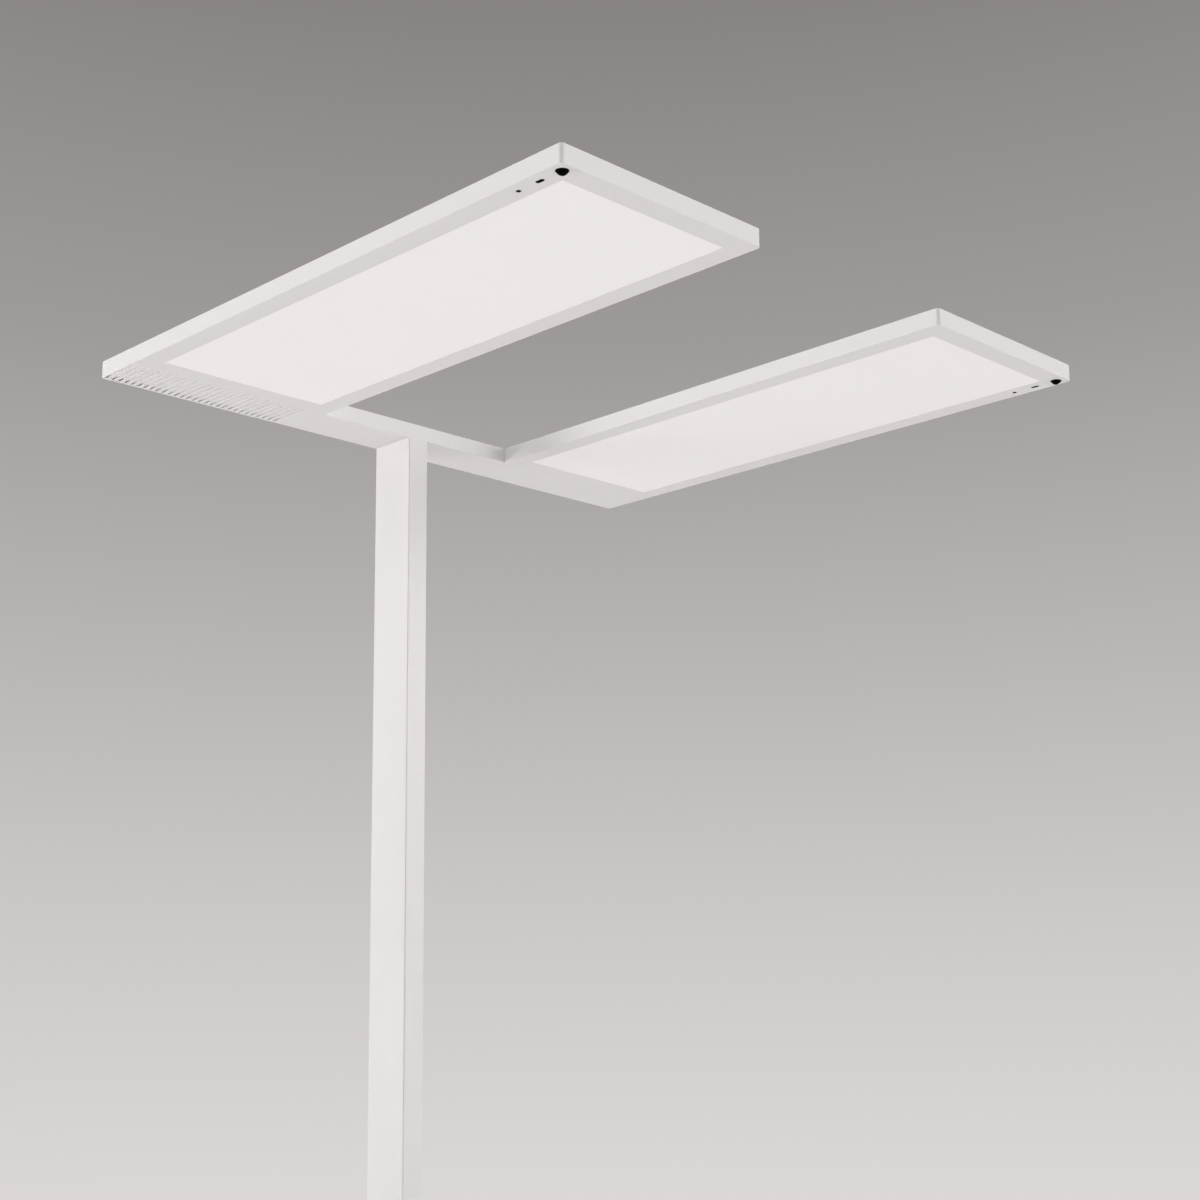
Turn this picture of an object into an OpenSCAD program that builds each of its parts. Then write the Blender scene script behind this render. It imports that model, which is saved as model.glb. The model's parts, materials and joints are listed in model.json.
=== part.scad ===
// Free-standing office lamp: a flat, fork-shaped head on a slim rectangular post with a flat base plate.
// Millimetres, +Z up. The origin is on the floor, midway between the head's sides and midway front to back.
// The two arms point to the front (-Y), and the post stands at the back (+Y).

/* [Overall] */
// Height of the head's top above the floor
lamp_h = 1950; // [1800:10:2100]
// Width of the head, side to side
head_w = 1000; // [940:10:1200]
// Depth of the head, front to back
head_d = 920; // [800:10:1100]
// Thickness of the head
head_t = 23; // [22:0.5:28]

/* [Head frames] */
// Width of each arm
arm_w = 322; // [300:2:350]
// Depth of the crossbar, front to back
cross_d = 82; // [78:1:100]
// Thickness of the frames' side walls
wall_t = 2.5; // [2:0.1:3]
// Thickness of the frames' undersides
floor_t = 2; // [1.5:0.1:2.5]
// Thickness of the lids
lid_t = 1.5; // [1:0.1:2]
// Width of the shoulder that a lid rests on
lid_seat = 1.2; // [0.8:0.1:1.5]
// Clearance round lids, panels and covers
fit_gap = 0.3; // [0.2:0.05:0.5]
// Radius of the head's upright outer corners
corner_r = 5; // [4:0.5:7]
// Diameter of the pillars for the lid screws
pillar_d = 8; // [6:0.5:9]
// Distance of the pillars' centres from the nearest outside face
pillar_in = 8; // [7:0.5:10]

/* [Light panel] */
// Width of the border beside and in front of each panel
border = 31; // [28:1:36]
// Width of the border between each panel and the crossbar
border_back = 30; // [28:1:40]
// Depth of the panel's face above the frame's underside
panel_inset = 0.4; // [0.2:0.1:1]
// Overlap of the panel over the frame's floor
panel_lap = 4; // [3:0.5:5]
// Thickness of the panel's overlapping edge
panel_edge_t = 1.5; // [1:0.1:2]
// Thickness of the light guide
guide_t = 4; // [3:0.5:5]
// Thickness of the white reflector sheet
reflector_t = 0.5; // [0.3:0.1:1]
// Thickness of the backing plate
backing_t = 1.5; // [1:0.1:2]
// Thickness of each edge LED bar
led_bar_t = 1.6; // [1:0.1:2]
// Gap between an LED bar and the light guide, which the chips stand in
led_gap = 0.6; // [0.4:0.1:1]
// Length and width of an LED chip
chip_w = 3; // [2:0.5:4]
// Pitch of the LED chips along the edge bars
edge_pitch = 25; // [15:1:40]

/* [Uplight] */
// Width of the uplight window in each lid
uplight_w = 46; // [30:2:70]
// Length of the uplight window in each lid
uplight_len = 640; // [400:10:660]
// Overlap of the uplight cover under the lid
uplight_lap = 3; // [2:0.5:5]
// Thickness of the cover's overlapping edge
uplight_edge_t = 1.2; // [0.8:0.1:1.6]
// Distance of the uplight board's edges from the window's edges
uplight_margin = 8; // [4:1:12]
// Thickness of the uplight board
uplight_board_t = 1.6; // [1:0.1:2]
// Height of an LED chip on the uplight board
chip_h = 0.8; // [0.5:0.1:1.2]
// Pitch of the LED chips on the uplight board
uplight_pitch = 20; // [15:1:40]

/* [Sensors] */
// Diameter of the presence sensor's dome
dome_d = 15; // [12:0.5:17]
// Distance that the dome stands out below the head
dome_drop = 5; // [2:0.1:6]
// Distance from the dome's centre to the front of the arm
dome_from_front = 15; // [13:0.5:20]
// Pitch of the dome, light-sensor window and indicator window
sensor_pitch = 34; // [28:1:40]
// Length of the light-sensor window
light_win_len = 12; // [10:0.5:14]
// Width of the light-sensor window
light_win_w = 5.4; // [4.4:0.2:6.4]
// Diameter of the indicator window
status_d = 5.6; // [4.6:0.2:6.6]
// Distance that the indicator window stands out below the head
status_drop = 1; // [0.4:0.1:1.5]
// Clearance of the dome and windows in their holes
sensor_gap = 0.15; // [0.1:0.05:0.3]
// Thickness of the flanges that hold the dome and windows
sensor_flange_t = 1.5; // [1:0.1:2]
// Width of the flanges round the dome and windows
sensor_flange_w = 1.5; // [1:0.1:2]
// Clearance between the sensor board and what is beside it
sensor_board_gap = 1.3; // [0.8:0.1:2]
// Thickness of the circuit boards
board_t = 1.6; // [1:0.1:2]

/* [Crossbar] */
// Number of ventilation slots
vent_count = 29; // [10:1:30]
// Pitch of the ventilation slots
vent_pitch = 10; // [8:0.5:10]
// Width of a ventilation slot
vent_w = 4; // [2:0.5:5]
// Distance from the first slot's centre to the left side of the head
vent_from_side = 5; // [4.5:0.5:8]
// Distance from the slots' ends to the crossbar's front and back faces
vent_margin = 4; // [4:0.5:10]
// Length of the driver
driver_len = 220; // [150:5:240]
// Width of the driver
driver_w = 50; // [40:1:56]
// Height of the driver above its mounting plate
driver_h = 14; // [10:0.5:16]
// Thickness of the driver's mounting plate
driver_plate_t = 1; // [0.8:0.1:1.5]
// Width of the strip behind the driver's mounting plate that is left open for air
air_strip = 14; // [12:1:20]
// Length of the control module
module_len = 120; // [80:5:160]
// Thickness of the mounting plate over the post
mount_plate_t = 4; // [3:0.5:6]
// Length of the mounting plate along the crossbar
mount_plate_len = 150; // [90:5:160]

/* [Joints of the arms] */
// Thickness of the joint bar in each arm
joint_bar_t = 6; // [5:0.5:8]
// Height of the joint bar
joint_bar_h = 12; // [11:0.5:14]
// Distance from the joint bar's ends to the arm's sides
joint_bar_end = 45; // [35:1:70]
// Number of screws in each joint bar
joint_screws = 4; // [2:1:5]
// Diameter of a joint screw
joint_screw_d = 5; // [4:0.5:6]

/* [Post] */
// Width of the post, side to side
post_w = 36; // [34:1:44]
// Wall thickness of the post
post_wall = 3; // [2.5:0.5:4]
// Radius of the post's upright corners
post_r = 2; // [1:0.5:3]
// Height of the blocks that are welded into the post's ends
end_block_h = 40; // [30:1:60]
// Diameter of the head and base screws
post_screw_d = 6; // [5:0.5:6]
// Distance between the head and base screws across the post
post_screw_x = 18; // [18:1:20]
// Distance between the head and base screws along the post's depth
post_screw_y = 56; // [48:1:60]
// Diameter of the cable way through the head block
cable_way_d = 12; // [9:0.5:12]

/* [Mains entry] */
// Height of the cable bush's centre above the base plate
bush_h = 75; // [68:1:120]
// Bore of the cable bush
bush_bore = 8; // [6:0.5:9]
// Outside diameter of the cable bush's barrel
bush_d = 14; // [12:0.5:16]
// Diameter of the cable bush's rim
bush_rim_d = 19; // [18:0.5:22]
// Thickness of the cable bush's rim
bush_rim_t = 1.5; // [1:0.1:2]
// Length of the cable bush
bush_len = 12; // [8:0.5:14]
// Height of the terminal block in the foot
foot_terminal_h = 16; // [10:1:18]

/* [Control panel] */
// Height of the control panel's centre above the floor
panel_h = 1100; // [900:10:1300]
// Width of the control panel's face
panel_w = 30; // [28:1:40]
// Length of the control panel's face
panel_len = 76; // [70:1:100]
// Thickness of the control panel's face, which stands on the post
panel_t = 1.2; // [0.8:0.1:2]
// Overlap of the control panel's face round its cut-out
panel_rim = 3; // [2:0.5:4]
// Diameter of a push button
button_d = 14; // [10:0.5:16]
// Distance between the two push buttons
button_pitch = 26; // [22:1:34]
// Distance that a push button stands out of the panel
button_proud = 1.4; // [1:0.1:2]
// Travel of a push button
button_travel = 1; // [0.6:0.1:1.4]
// Radial clearance of a push button
button_gap = 0.1; // [0.05:0.01:0.15]
// Thickness and width of the collar that keeps a push button in
button_collar = 1.5; // [1:0.1:2]
// Size of the square body of a key switch
key_w = 6; // [5:0.5:7]
// Height of a key switch
key_h = 3.5; // [3:0.1:5]
// Diameter of the pillars that carry the button board
board_pillar_d = 5; // [4:0.5:6]

/* [Base] */
// Width of the base plate
base_w = 600; // [500:10:700]
// Depth of the base plate
base_d = 460; // [420:10:540]
// Thickness of the base plate
base_t = 10; // [10:0.5:16]
// Radius of the base plate's corners
base_r = 20; // [5:1:40]
// Distance from the levelling feet to the base plate's edges
foot_in = 40; // [28:1:70]
// Gap between the floor and the base plate
base_gap = 8; // [8:0.5:12]
// Diameter of a levelling foot's pad
pad_d = 30; // [24:1:40]
// Height of a levelling foot's pad
pad_h = 5; // [4.5:0.1:5]
// Diameter of a levelling foot's stud
stud_d = 8; // [6:0.5:10]
// Depth of the threaded hole for the stud
stud_hole = 8; // [6:0.5:8]
// Length of the stud's end that sits in the pad
stud_foot = 3; // [2:0.2:3.5]
// Width across the flats of the stud's hexagon
stud_hex = 13; // [12:0.5:17]
// Clearance of the stud in its hole and in the pad
stud_gap = 0.08; // [0.05:0.01:0.1]

/* [Wiring and screws] */
// Diameter of the looms in the head
loom_d = 5; // [4:0.5:6]
// Clearance beside an arm's loom
loom_side_gap = 2.3; // [1:0.1:3]
// Bend radius of the looms
loom_bend = 12; // [8:0.5:12]
// Diameter of the loom in the post
post_loom_d = 6; // [5:0.5:7]
// Clearance between a loom and what it lies on
loom_gap = 0.2; // [0.1:0.05:0.5]
// Diameter of a lid screw
lid_screw_d = 3; // [2.5:0.1:3.5]
// Depth of a lid screw's hole in its pillar
lid_screw_len = 8; // [6:0.5:10]
// Radial clearance between a screw and its hole
screw_gap = 0.1; // [0.05:0.05:0.2]
// Gap between the end of a screw or stud and the bottom of its hole
screw_end_gap = 1; // [0.5:0.1:1.5]
// Depth of the base screws' heads above the underside of the base plate
screw_sink = 1; // [0.5:0.1:1.5]
// Clearance round a loom in the walls' holes
loom_hole_gap = 1; // [0.5:0.1:1.5]

/* [Hidden] */
$fn = 64;

// A cut runs past the face that it goes through by this much
over = 1;

// Levels of the head, from below
head_z0 = lamp_h - head_t;
floor_z = head_z0 + floor_t;
lid_z = lamp_h - lid_t;

// Outline of the head, with the left arm's sides
arm_x0 = -head_w / 2;
arm_x1 = arm_x0 + arm_w;
head_y0 = -head_d / 2;
head_y1 = head_d / 2;
cross_y0 = head_y1 - cross_d;
cross_in0 = cross_y0 + wall_t;
cross_in1 = head_y1 - wall_t;

// Left arm's window, and the stack of sheets above it
win_lo = [arm_x0 + border, head_y0 + border];
win_hi = [arm_x1 - border, cross_y0 - border_back];
stack_lo = win_lo - [panel_lap, panel_lap];
stack_hi = win_hi + [panel_lap, panel_lap];
guide_z = floor_z + panel_edge_t;
reflector_z = guide_z + guide_t;
backing_z = reflector_z + reflector_t;
uplight_z = backing_z + backing_t;
led_bar_margin = 5;
led_reach = led_gap + led_bar_t;
led_side_x = stack_lo[0] - led_reach;

// Middle of the left arm's window, which the uplight is centred on
mid_x = (win_lo[0] + win_hi[0]) / 2;
mid_y = (win_lo[1] + win_hi[1]) / 2;

// Left arm's sensors
sensor_x = arm_x0 + border / 2;
dome_y = head_y0 + dome_from_front;
light_win_y = dome_y + sensor_pitch;
status_y = light_win_y + sensor_pitch;
sensor_board_z = floor_z + sensor_flange_t;
sensor_board_x0 = arm_x0 + wall_t + sensor_board_gap;
sensor_board_x1 = led_side_x - sensor_board_gap;
sensor_board_y0 = head_y0 + wall_t + fit_gap;
sensor_board_y1 = status_y + status_d + sensor_flange_w;
plug_len = 8;
plug_h = 6;
can_d = dome_d - 4 * sensor_flange_w;
can_h = sensor_flange_t + floor_t - 1;

// Left arm's pillars for the lid screws
arm_pillar_x = [arm_x0 + pillar_in, arm_x1 - pillar_in];
arm_pillar_front = sensor_board_y1 + plug_len + pillar_d;
arm_pillar_back = cross_y0 - (border_back - panel_lap + wall_t + joint_bar_t) / 2;
arm_pillar_y = [arm_pillar_front, (arm_pillar_front + arm_pillar_back) / 2, arm_pillar_back];

// Post, standing flush with the crossbar's front and back faces
post_x0 = -post_w / 2;
post_y = (cross_y0 + head_y1) / 2;
post_in_w = post_w - 2 * post_wall;
post_in_d = cross_d - 2 * post_wall;
base_z1 = base_gap + base_t;

// Ventilation slots
vent_x0 = arm_x0 + vent_from_side;
vent_last = vent_x0 + (vent_count - 1) * vent_pitch;
vent_y0 = cross_y0 + vent_margin;
vent_y1 = head_y1 - vent_margin;

// Crossbar's pillars: behind the crossbar's front wall and before its back wall, clear of the slots
cross_pillar_x = vent_last + vent_w / 2 + pillar_d;
cross_pillars = [
    [cross_pillar_x, cross_y0 + pillar_in], [cross_pillar_x, head_y1 - pillar_in],
    [-cross_pillar_x, cross_y0 + pillar_in], [-cross_pillar_x, head_y1 - pillar_in],
    [-arm_x0 - pillar_in, head_y1 - pillar_in]
];

// Looms
loom_r = loom_d / 2;
loom_z = floor_z + driver_plate_t + loom_gap + loom_r;
loom_x = led_side_x - loom_side_gap - loom_r;
loom_hole_r = loom_r + loom_hole_gap;
loom_turn_y = cross_y0 + 2 * loom_bend;
device_x = loom_x + loom_bend + loom_d * 2;
device_y = cross_y0 + cross_d / 2 - air_strip / 4;
module_grooves = 5;
groove_w = 3;
groove_t = 1;
mount_z = floor_z + mount_plate_t;
post_loom_top = floor_z + driver_plate_t + loom_bend;
terminal_len = 55;
terminal_w = 36;
terminal_cap = 0.5;
terminal_gap = 1;
terminal_ways = 5;
terminal_hole_d = 5;
terminal_recess = 2;
terminal_h = post_loom_top + post_loom_d / 2 - floor_z + terminal_cap;
terminal_x0 = -mount_plate_len / 2 - terminal_gap - terminal_len;
cross_loom_y = post_y + cable_way_d / 2 + loom_d;

// Joint bars: screws run from the crossbar through both walls into the bar
joint_z = floor_z + (head_t - floor_t - lid_t) / 2;
joint_bar_y0 = cross_y0 - wall_t - joint_bar_t;
joint_first = arm_x0 + joint_bar_end + 2 * joint_screw_d;
joint_last = arm_x1 - joint_bar_end - 2 * joint_screw_d;
joint_pitch = (joint_last - joint_first) / (joint_screws - 1);
joint_head_d = joint_screw_d * 1.7;
joint_head_t = joint_screw_d * 0.7;

// Screws of the post's end blocks
post_screw_head_d = post_screw_d * 1.6;
base_screw_head_t = post_screw_d * 0.6;
post_screw_depth = 20;

// Terminal block in the foot
foot_terminal_w = 20;
foot_terminal_d = 36;
foot_terminal_ways = 3;
foot_terminal_hole_d = 4;

// Control panel on the post's right-hand face
panel_x = post_w / 2;
cut_w = panel_w - 2 * panel_rim;
cut_len = panel_len - 2 * panel_rim;
bezel_w = cut_w - 2 * fit_gap;
bezel_len = cut_len - 2 * fit_gap;
bezel_x = panel_x - post_wall;
button_x = bezel_x - button_collar;
key_gap = 0.2;
button_board_x = button_x - button_travel - key_gap - key_h;
board_pillar_z = bezel_len / 2 - board_pillar_d / 2;

// Levelling feet
foot_x = base_w / 2 - foot_in;
foot_y0 = head_y1 - base_d + foot_in;
foot_y1 = head_y1 - foot_in;
hex_t = base_gap - pad_h - stud_gap;

// Lid screws: the head's cone fills the lid's thickness
lid_head_d = lid_screw_d + 2 * lid_t;

// Block between two opposite corners
module block(lo, hi) {
    translate(lo) cube(hi - lo);
}

// Block with round upright edges: radius rf along the front, rb along the back
module round_block(lo, hi, rf, rb) {
    h = hi[2] - lo[2];
    block([lo[0], lo[1] + rf, lo[2]], [hi[0], hi[1] - rb, hi[2]]);
    if (rf > 0) {
        block([lo[0] + rf, lo[1], lo[2]], [hi[0] - rf, lo[1] + rf, hi[2]]);
        for (x = [lo[0] + rf, hi[0] - rf]) translate([x, lo[1] + rf, lo[2]]) cylinder(r = rf, h = h);
    }
    if (rb > 0) {
        block([lo[0] + rb, hi[1] - rb, lo[2]], [hi[0] - rb, hi[1], hi[2]]);
        for (x = [lo[0] + rb, hi[0] - rb]) translate([x, hi[1] - rb, lo[2]]) cylinder(r = rb, h = h);
    }
}

// Cylinder along X or Y that starts at a point
module rod_x(at, r, len) {
    translate(at) rotate([0, 90, 0]) cylinder(r = r, h = len);
}
module rod_y(at, r, len) {
    translate(at) rotate([-90, 0, 0]) cylinder(r = r, h = len);
}

// Upright slot with round ends that runs front to back
module slot_y(x, y0, y1, z, w, h) {
    block([x - w / 2, y0 + w / 2, z], [x + w / 2, y1 - w / 2, z + h]);
    for (y = [y0 + w / 2, y1 - w / 2]) translate([x, y, z]) cylinder(d = w, h = h);
}

// Shape drawn for the left arm, or its mirror image for the right arm
module on_side(right) {
    if (right) mirror([1, 0, 0]) children();
    else children();
}

// Places of the screws that hold the head and the base to the post
module at_post_screws() {
    for (x = [-1, 1], y = [-1, 1]) {
        translate([x * post_screw_x / 2, post_y + y * post_screw_y / 2, 0]) children();
    }
}

// Places of the left arm's lid screws
module at_arm_pillars() {
    for (x = arm_pillar_x, y = arm_pillar_y) translate([x, y, 0]) children();
}

// Places of the crossbar's lid screws
module at_cross_pillars() {
    for (p = cross_pillars) translate([p[0], p[1], 0]) children();
}

// Pillar on a frame's floor, with the hole for a lid screw
module lid_pillar() {
    difference() {
        translate([0, 0, floor_z]) cylinder(d = pillar_d, h = lid_z - floor_z);
        translate([0, 0, lid_z - lid_screw_len]) cylinder(d = lid_screw_d, h = lid_screw_len + over);
    }
}

// Countersunk hole in a lid
module lid_hole() {
    translate([0, 0, lid_z]) cylinder(d1 = lid_screw_d, d2 = lid_head_d, h = lid_t);
    translate([0, 0, lid_z - over]) cylinder(d = lid_screw_d, h = 2 * over);
}

// Screw that fills a lid's countersunk hole and reaches into a pillar
module lid_screw() {
    r = lid_screw_d / 2 - screw_gap;
    head_r = lid_head_d / 2 - screw_gap;
    translate([0, 0, lid_z]) cylinder(r1 = r, r2 = head_r, h = lid_t);
    shank = lid_screw_len - screw_end_gap;
    translate([0, 0, lid_z - shank]) cylinder(r = r, h = shank);
}

// Places of the left arm's joint screws, on the crossbar's inner face
module at_joint_screws() {
    for (i = [0:joint_screws - 1]) translate([joint_first + i * joint_pitch, cross_in0, joint_z]) children();
}

// ---- Base ----

module base_plate() {
    color("white") difference() {
        round_block(
            [-base_w / 2, head_y1 - base_d, base_gap], [base_w / 2, head_y1, base_z1],
            base_r, base_r
        );
        for (x = [-foot_x, foot_x], y = [foot_y0, foot_y1]) {
            translate([x, y, base_gap - over]) cylinder(d = stud_d + 2 * stud_gap, h = stud_hole + over);
        }
        at_post_screws() translate([0, 0, base_gap - over]) {
            cylinder(d = post_screw_d + 2 * screw_gap, h = base_t + 2 * over);
            cylinder(d = post_screw_head_d + 2 * screw_gap, h = base_screw_head_t + over);
        }
    }
}

// Pad of a levelling foot: a low cone with a socket for the stud's end
module foot_pad(x, y) {
    color("dimgray") translate([x, y, 0]) difference() {
        union() {
            cylinder(d = pad_d, h = pad_h / 2);
            translate([0, 0, pad_h / 2]) cylinder(d1 = pad_d, d2 = pad_d * 0.7, h = pad_h / 2);
        }
        translate([0, 0, pad_h - stud_foot - stud_gap]) {
            cylinder(d = stud_d + 2 * stud_gap, h = stud_foot + over);
        }
    }
}

// Threaded stud of a levelling foot, whose hexagon rests under the base plate
module foot_stud(x, y) {
    color("silver") translate([x, y, 0]) {
        z0 = pad_h - stud_foot;
        translate([0, 0, z0]) cylinder(d = stud_d, h = base_gap + stud_hole - screw_end_gap - z0);
        translate([0, 0, base_gap - hex_t]) cylinder(d = stud_hex / cos(30), h = hex_t, $fn = 6);
    }
}

module base_screws() {
    z0 = base_gap + screw_sink;
    color("silver") at_post_screws() translate([0, 0, z0]) {
        cylinder(d = post_screw_head_d, h = base_screw_head_t - screw_sink);
        cylinder(d = post_screw_d, h = base_z1 + post_screw_depth - screw_end_gap - z0);
    }
}

// ---- Post ----

module post() {
    color("white") difference() {
        round_block([post_x0, cross_y0, base_z1], [-post_x0, head_y1, head_z0], post_r, post_r);
        block(
            [-post_in_w / 2, cross_y0 + post_wall, base_z1 - over],
            [post_in_w / 2, head_y1 - post_wall, head_z0 + over]
        );
        rod_y([0, head_y1 - post_wall - over, base_z1 + bush_h], bush_d / 2 + fit_gap, post_wall + 2 * over);
        rod_y([0, head_y1 - bush_rim_t, base_z1 + bush_h], bush_rim_d / 2 + fit_gap, bush_rim_t + over);
        block(
            [panel_x - post_wall - over, post_y - cut_w / 2, panel_h - cut_len / 2],
            [panel_x + over, post_y + cut_w / 2, panel_h + cut_len / 2]
        );
    }
}

// Block welded into the post's foot, with the base screws' holes
module foot_block() {
    color("gray") difference() {
        translate([-post_in_w / 2, post_y - post_in_d / 2, base_z1]) {
            cube([post_in_w, post_in_d, end_block_h]);
        }
        at_post_screws() translate([0, 0, base_z1 - over]) {
            cylinder(d = post_screw_d + 2 * screw_gap, h = post_screw_depth + over);
        }
    }
}

// Block welded into the post's top, with the head screws' holes and the cable way
module head_block() {
    color("gray") difference() {
        translate([-post_in_w / 2, post_y - post_in_d / 2, head_z0 - end_block_h]) {
            cube([post_in_w, post_in_d, end_block_h]);
        }
        at_post_screws() translate([0, 0, head_z0 - post_screw_depth]) {
            cylinder(d = post_screw_d + 2 * screw_gap, h = post_screw_depth + over);
        }
        translate([0, post_y, head_z0 - end_block_h - over]) {
            cylinder(d = cable_way_d, h = end_block_h + 2 * over);
        }
    }
}

// Terminal block on the foot block, where the mains lead meets the loom
module foot_terminal() {
    pitch = foot_terminal_d / foot_terminal_ways;
    x0 = -foot_terminal_w / 2;
    y0 = post_y - foot_terminal_d / 2;
    z0 = base_z1 + end_block_h;
    color("ivory") difference() {
        block([x0, y0, z0], [-x0, y0 + foot_terminal_d, z0 + foot_terminal_h]);
        for (i = [0:foot_terminal_ways - 1]) {
            rod_x(
                [x0 - over, y0 + pitch * (i + 0.5), z0 + foot_terminal_h / 2],
                foot_terminal_hole_d / 2, foot_terminal_w + 2 * over
            );
        }
    }
}

// Bush for the mains lead, flush with the post's back face
module cable_bush() {
    color("dimgray") difference() {
        union() {
            rod_y([0, head_y1 - bush_len, base_z1 + bush_h], bush_d / 2, bush_len);
            rod_y([0, head_y1 - bush_rim_t, base_z1 + bush_h], bush_rim_d / 2, bush_rim_t);
        }
        rod_y([0, head_y1 - bush_len - over, base_z1 + bush_h], bush_bore / 2, bush_len + 2 * over);
    }
}

// Loom from the foot terminal up through the post, then over to the head terminal
module post_loom() {
    x0 = terminal_x0 + terminal_len;
    z0 = base_z1 + end_block_h + foot_terminal_h;
    z1 = post_loom_top - loom_bend;
    color("gray") {
        translate([0, post_y, z0]) cylinder(d = post_loom_d, h = z1 - z0);
        translate([-loom_bend, post_y, z1]) rotate([90, 0, 0]) {
            rotate_extrude(angle = 90) translate([loom_bend, 0]) circle(d = post_loom_d);
        }
        rod_x([x0, post_y, post_loom_top], post_loom_d / 2, -loom_bend - x0);
    }
}

// Plate inside the crossbar that spreads the post screws' load
module mount_plate() {
    lo = [-mount_plate_len / 2, cross_in0 + fit_gap, floor_z];
    hi = [mount_plate_len / 2, cross_in1 - fit_gap, mount_z];
    color("gray") difference() {
        block(lo, hi);
        at_post_screws() translate([0, 0, floor_z - over]) {
            cylinder(d = post_screw_d + 2 * screw_gap, h = mount_plate_t + 2 * over);
        }
        translate([0, post_y, floor_z - over]) cylinder(d = cable_way_d, h = mount_plate_t + 2 * over);
    }
}

module head_screws() {
    shank = mount_plate_t + floor_t + post_screw_depth - screw_end_gap;
    color("silver") at_post_screws() {
        translate([0, 0, mount_z - shank]) cylinder(d = post_screw_d, h = shank);
        translate([0, 0, mount_z]) cylinder(d = post_screw_head_d, h = post_screw_d);
    }
}

// ---- Control panel ----

// Face plate with two button holes, a body that fills the cut-out, and pillars for the board
module control_panel() {
    color("whitesmoke") difference() {
        union() {
            block(
                [panel_x, post_y - panel_w / 2, panel_h - panel_len / 2],
                [panel_x + panel_t, post_y + panel_w / 2, panel_h + panel_len / 2]
            );
            block(
                [bezel_x, post_y - bezel_w / 2, panel_h - bezel_len / 2],
                [panel_x, post_y + bezel_w / 2, panel_h + bezel_len / 2]
            );
            for (z = [-1, 1]) {
                rod_x(
                    [button_board_x, post_y, panel_h + z * board_pillar_z],
                    board_pillar_d / 2, bezel_x - button_board_x
                );
            }
        }
        for (z = [-1, 1]) {
            rod_x(
                [bezel_x - over, post_y, panel_h + z * button_pitch / 2],
                button_d / 2 + button_gap, post_wall + panel_t + 2 * over
            );
        }
    }
}

// Push button with a collar behind the panel, which it rests against when it isn't pressed
module button(z) {
    color("gainsboro") {
        rod_x([button_x, post_y, z], button_d / 2, button_collar + post_wall + panel_t + button_proud);
        rod_x([button_x, post_y, z], button_d / 2 + button_collar, button_collar);
    }
}

// Board with a key switch behind each button
module button_board() {
    color("seagreen") {
        block(
            [button_board_x - board_t, post_y - bezel_w / 2, panel_h - bezel_len / 2],
            [button_board_x, post_y + bezel_w / 2, panel_h + bezel_len / 2]
        );
        for (z = [-1, 1]) {
            translate([button_board_x, post_y - key_w / 2, panel_h + z * button_pitch / 2 - key_w / 2]) {
                cube([key_h, key_w, key_w]);
            }
        }
    }
}

// ---- Crossbar ----

module crossbar_frame() {
    color("white") {
        difference() {
            round_block([arm_x0, cross_y0, head_z0], [-arm_x0, head_y1, lamp_h], 0, corner_r);
            round_block(
                [arm_x0 + wall_t, cross_in0, floor_z], [-arm_x0 - wall_t, cross_in1, lamp_h + over],
                0, corner_r - wall_t
            );
            crossbar_lid_space(lid_z, lamp_h + over, 0);
            for (i = [0:vent_count - 1]) {
                x = vent_x0 + i * vent_pitch;
                slot_y(x, vent_y0, vent_y1, head_z0 - over, vent_w, floor_t + 2 * over);
            }
            at_post_screws() translate([0, 0, head_z0 - over]) {
                cylinder(d = post_screw_d + 2 * screw_gap, h = floor_t + 2 * over);
            }
            translate([0, post_y, head_z0 - over]) cylinder(d = cable_way_d, h = floor_t + 2 * over);
            for (right = [false, true]) on_side(right) wall_holes(cross_y0);
        }
        at_cross_pillars() lid_pillar();
    }
}

// Holes for the loom and the joint screws in one of the walls where an arm meets the crossbar
module wall_holes(y) {
    rod_y([loom_x, y - over, loom_z], loom_hole_r, wall_t + 2 * over);
    for (i = [0:joint_screws - 1]) {
        rod_y(
            [joint_first + i * joint_pitch, y - over, joint_z],
            joint_screw_d / 2 + screw_gap, wall_t + 2 * over
        );
    }
}

// Space of the crossbar's lid, drawn in by a gap all round
module crossbar_lid_space(z0, z1, gap) {
    edge = wall_t - lid_seat + gap;
    round_block(
        [arm_x0 + edge, cross_y0 + edge, z0], [-arm_x0 - edge, head_y1 - edge, z1],
        0, corner_r - edge
    );
}

module crossbar_lid() {
    color("white") difference() {
        crossbar_lid_space(lid_z, lamp_h, fit_gap);
        at_cross_pillars() lid_hole();
    }
}

// Driver on a thin plate that lies over the slots, all but their back ends
module driver() {
    color("lightgray") {
        block(
            [arm_x0 + wall_t + loom_gap, cross_in0 + fit_gap, floor_z],
            [vent_last + vent_w, head_y1 - air_strip, floor_z + driver_plate_t]
        );
        block(
            [device_x, device_y - driver_w / 2, floor_z],
            [device_x + driver_len, device_y + driver_w / 2, floor_z + driver_plate_t + driver_h]
        );
    }
}

// Control module at the right-hand end, with cooling grooves across its top
module control_module() {
    x0 = -device_x - module_len;
    top = floor_z + driver_h;
    pitch = module_len / (module_grooves + 1);
    color("darkgray") difference() {
        block([x0, device_y - driver_w / 2, floor_z], [-device_x, device_y + driver_w / 2, top]);
        for (i = [1:module_grooves]) {
            x = x0 + i * pitch;
            block(
                [x - groove_w / 2, device_y - driver_w / 3, top - groove_t],
                [x + groove_w / 2, device_y + driver_w / 3, top + over]
            );
        }
    }
}

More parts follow.
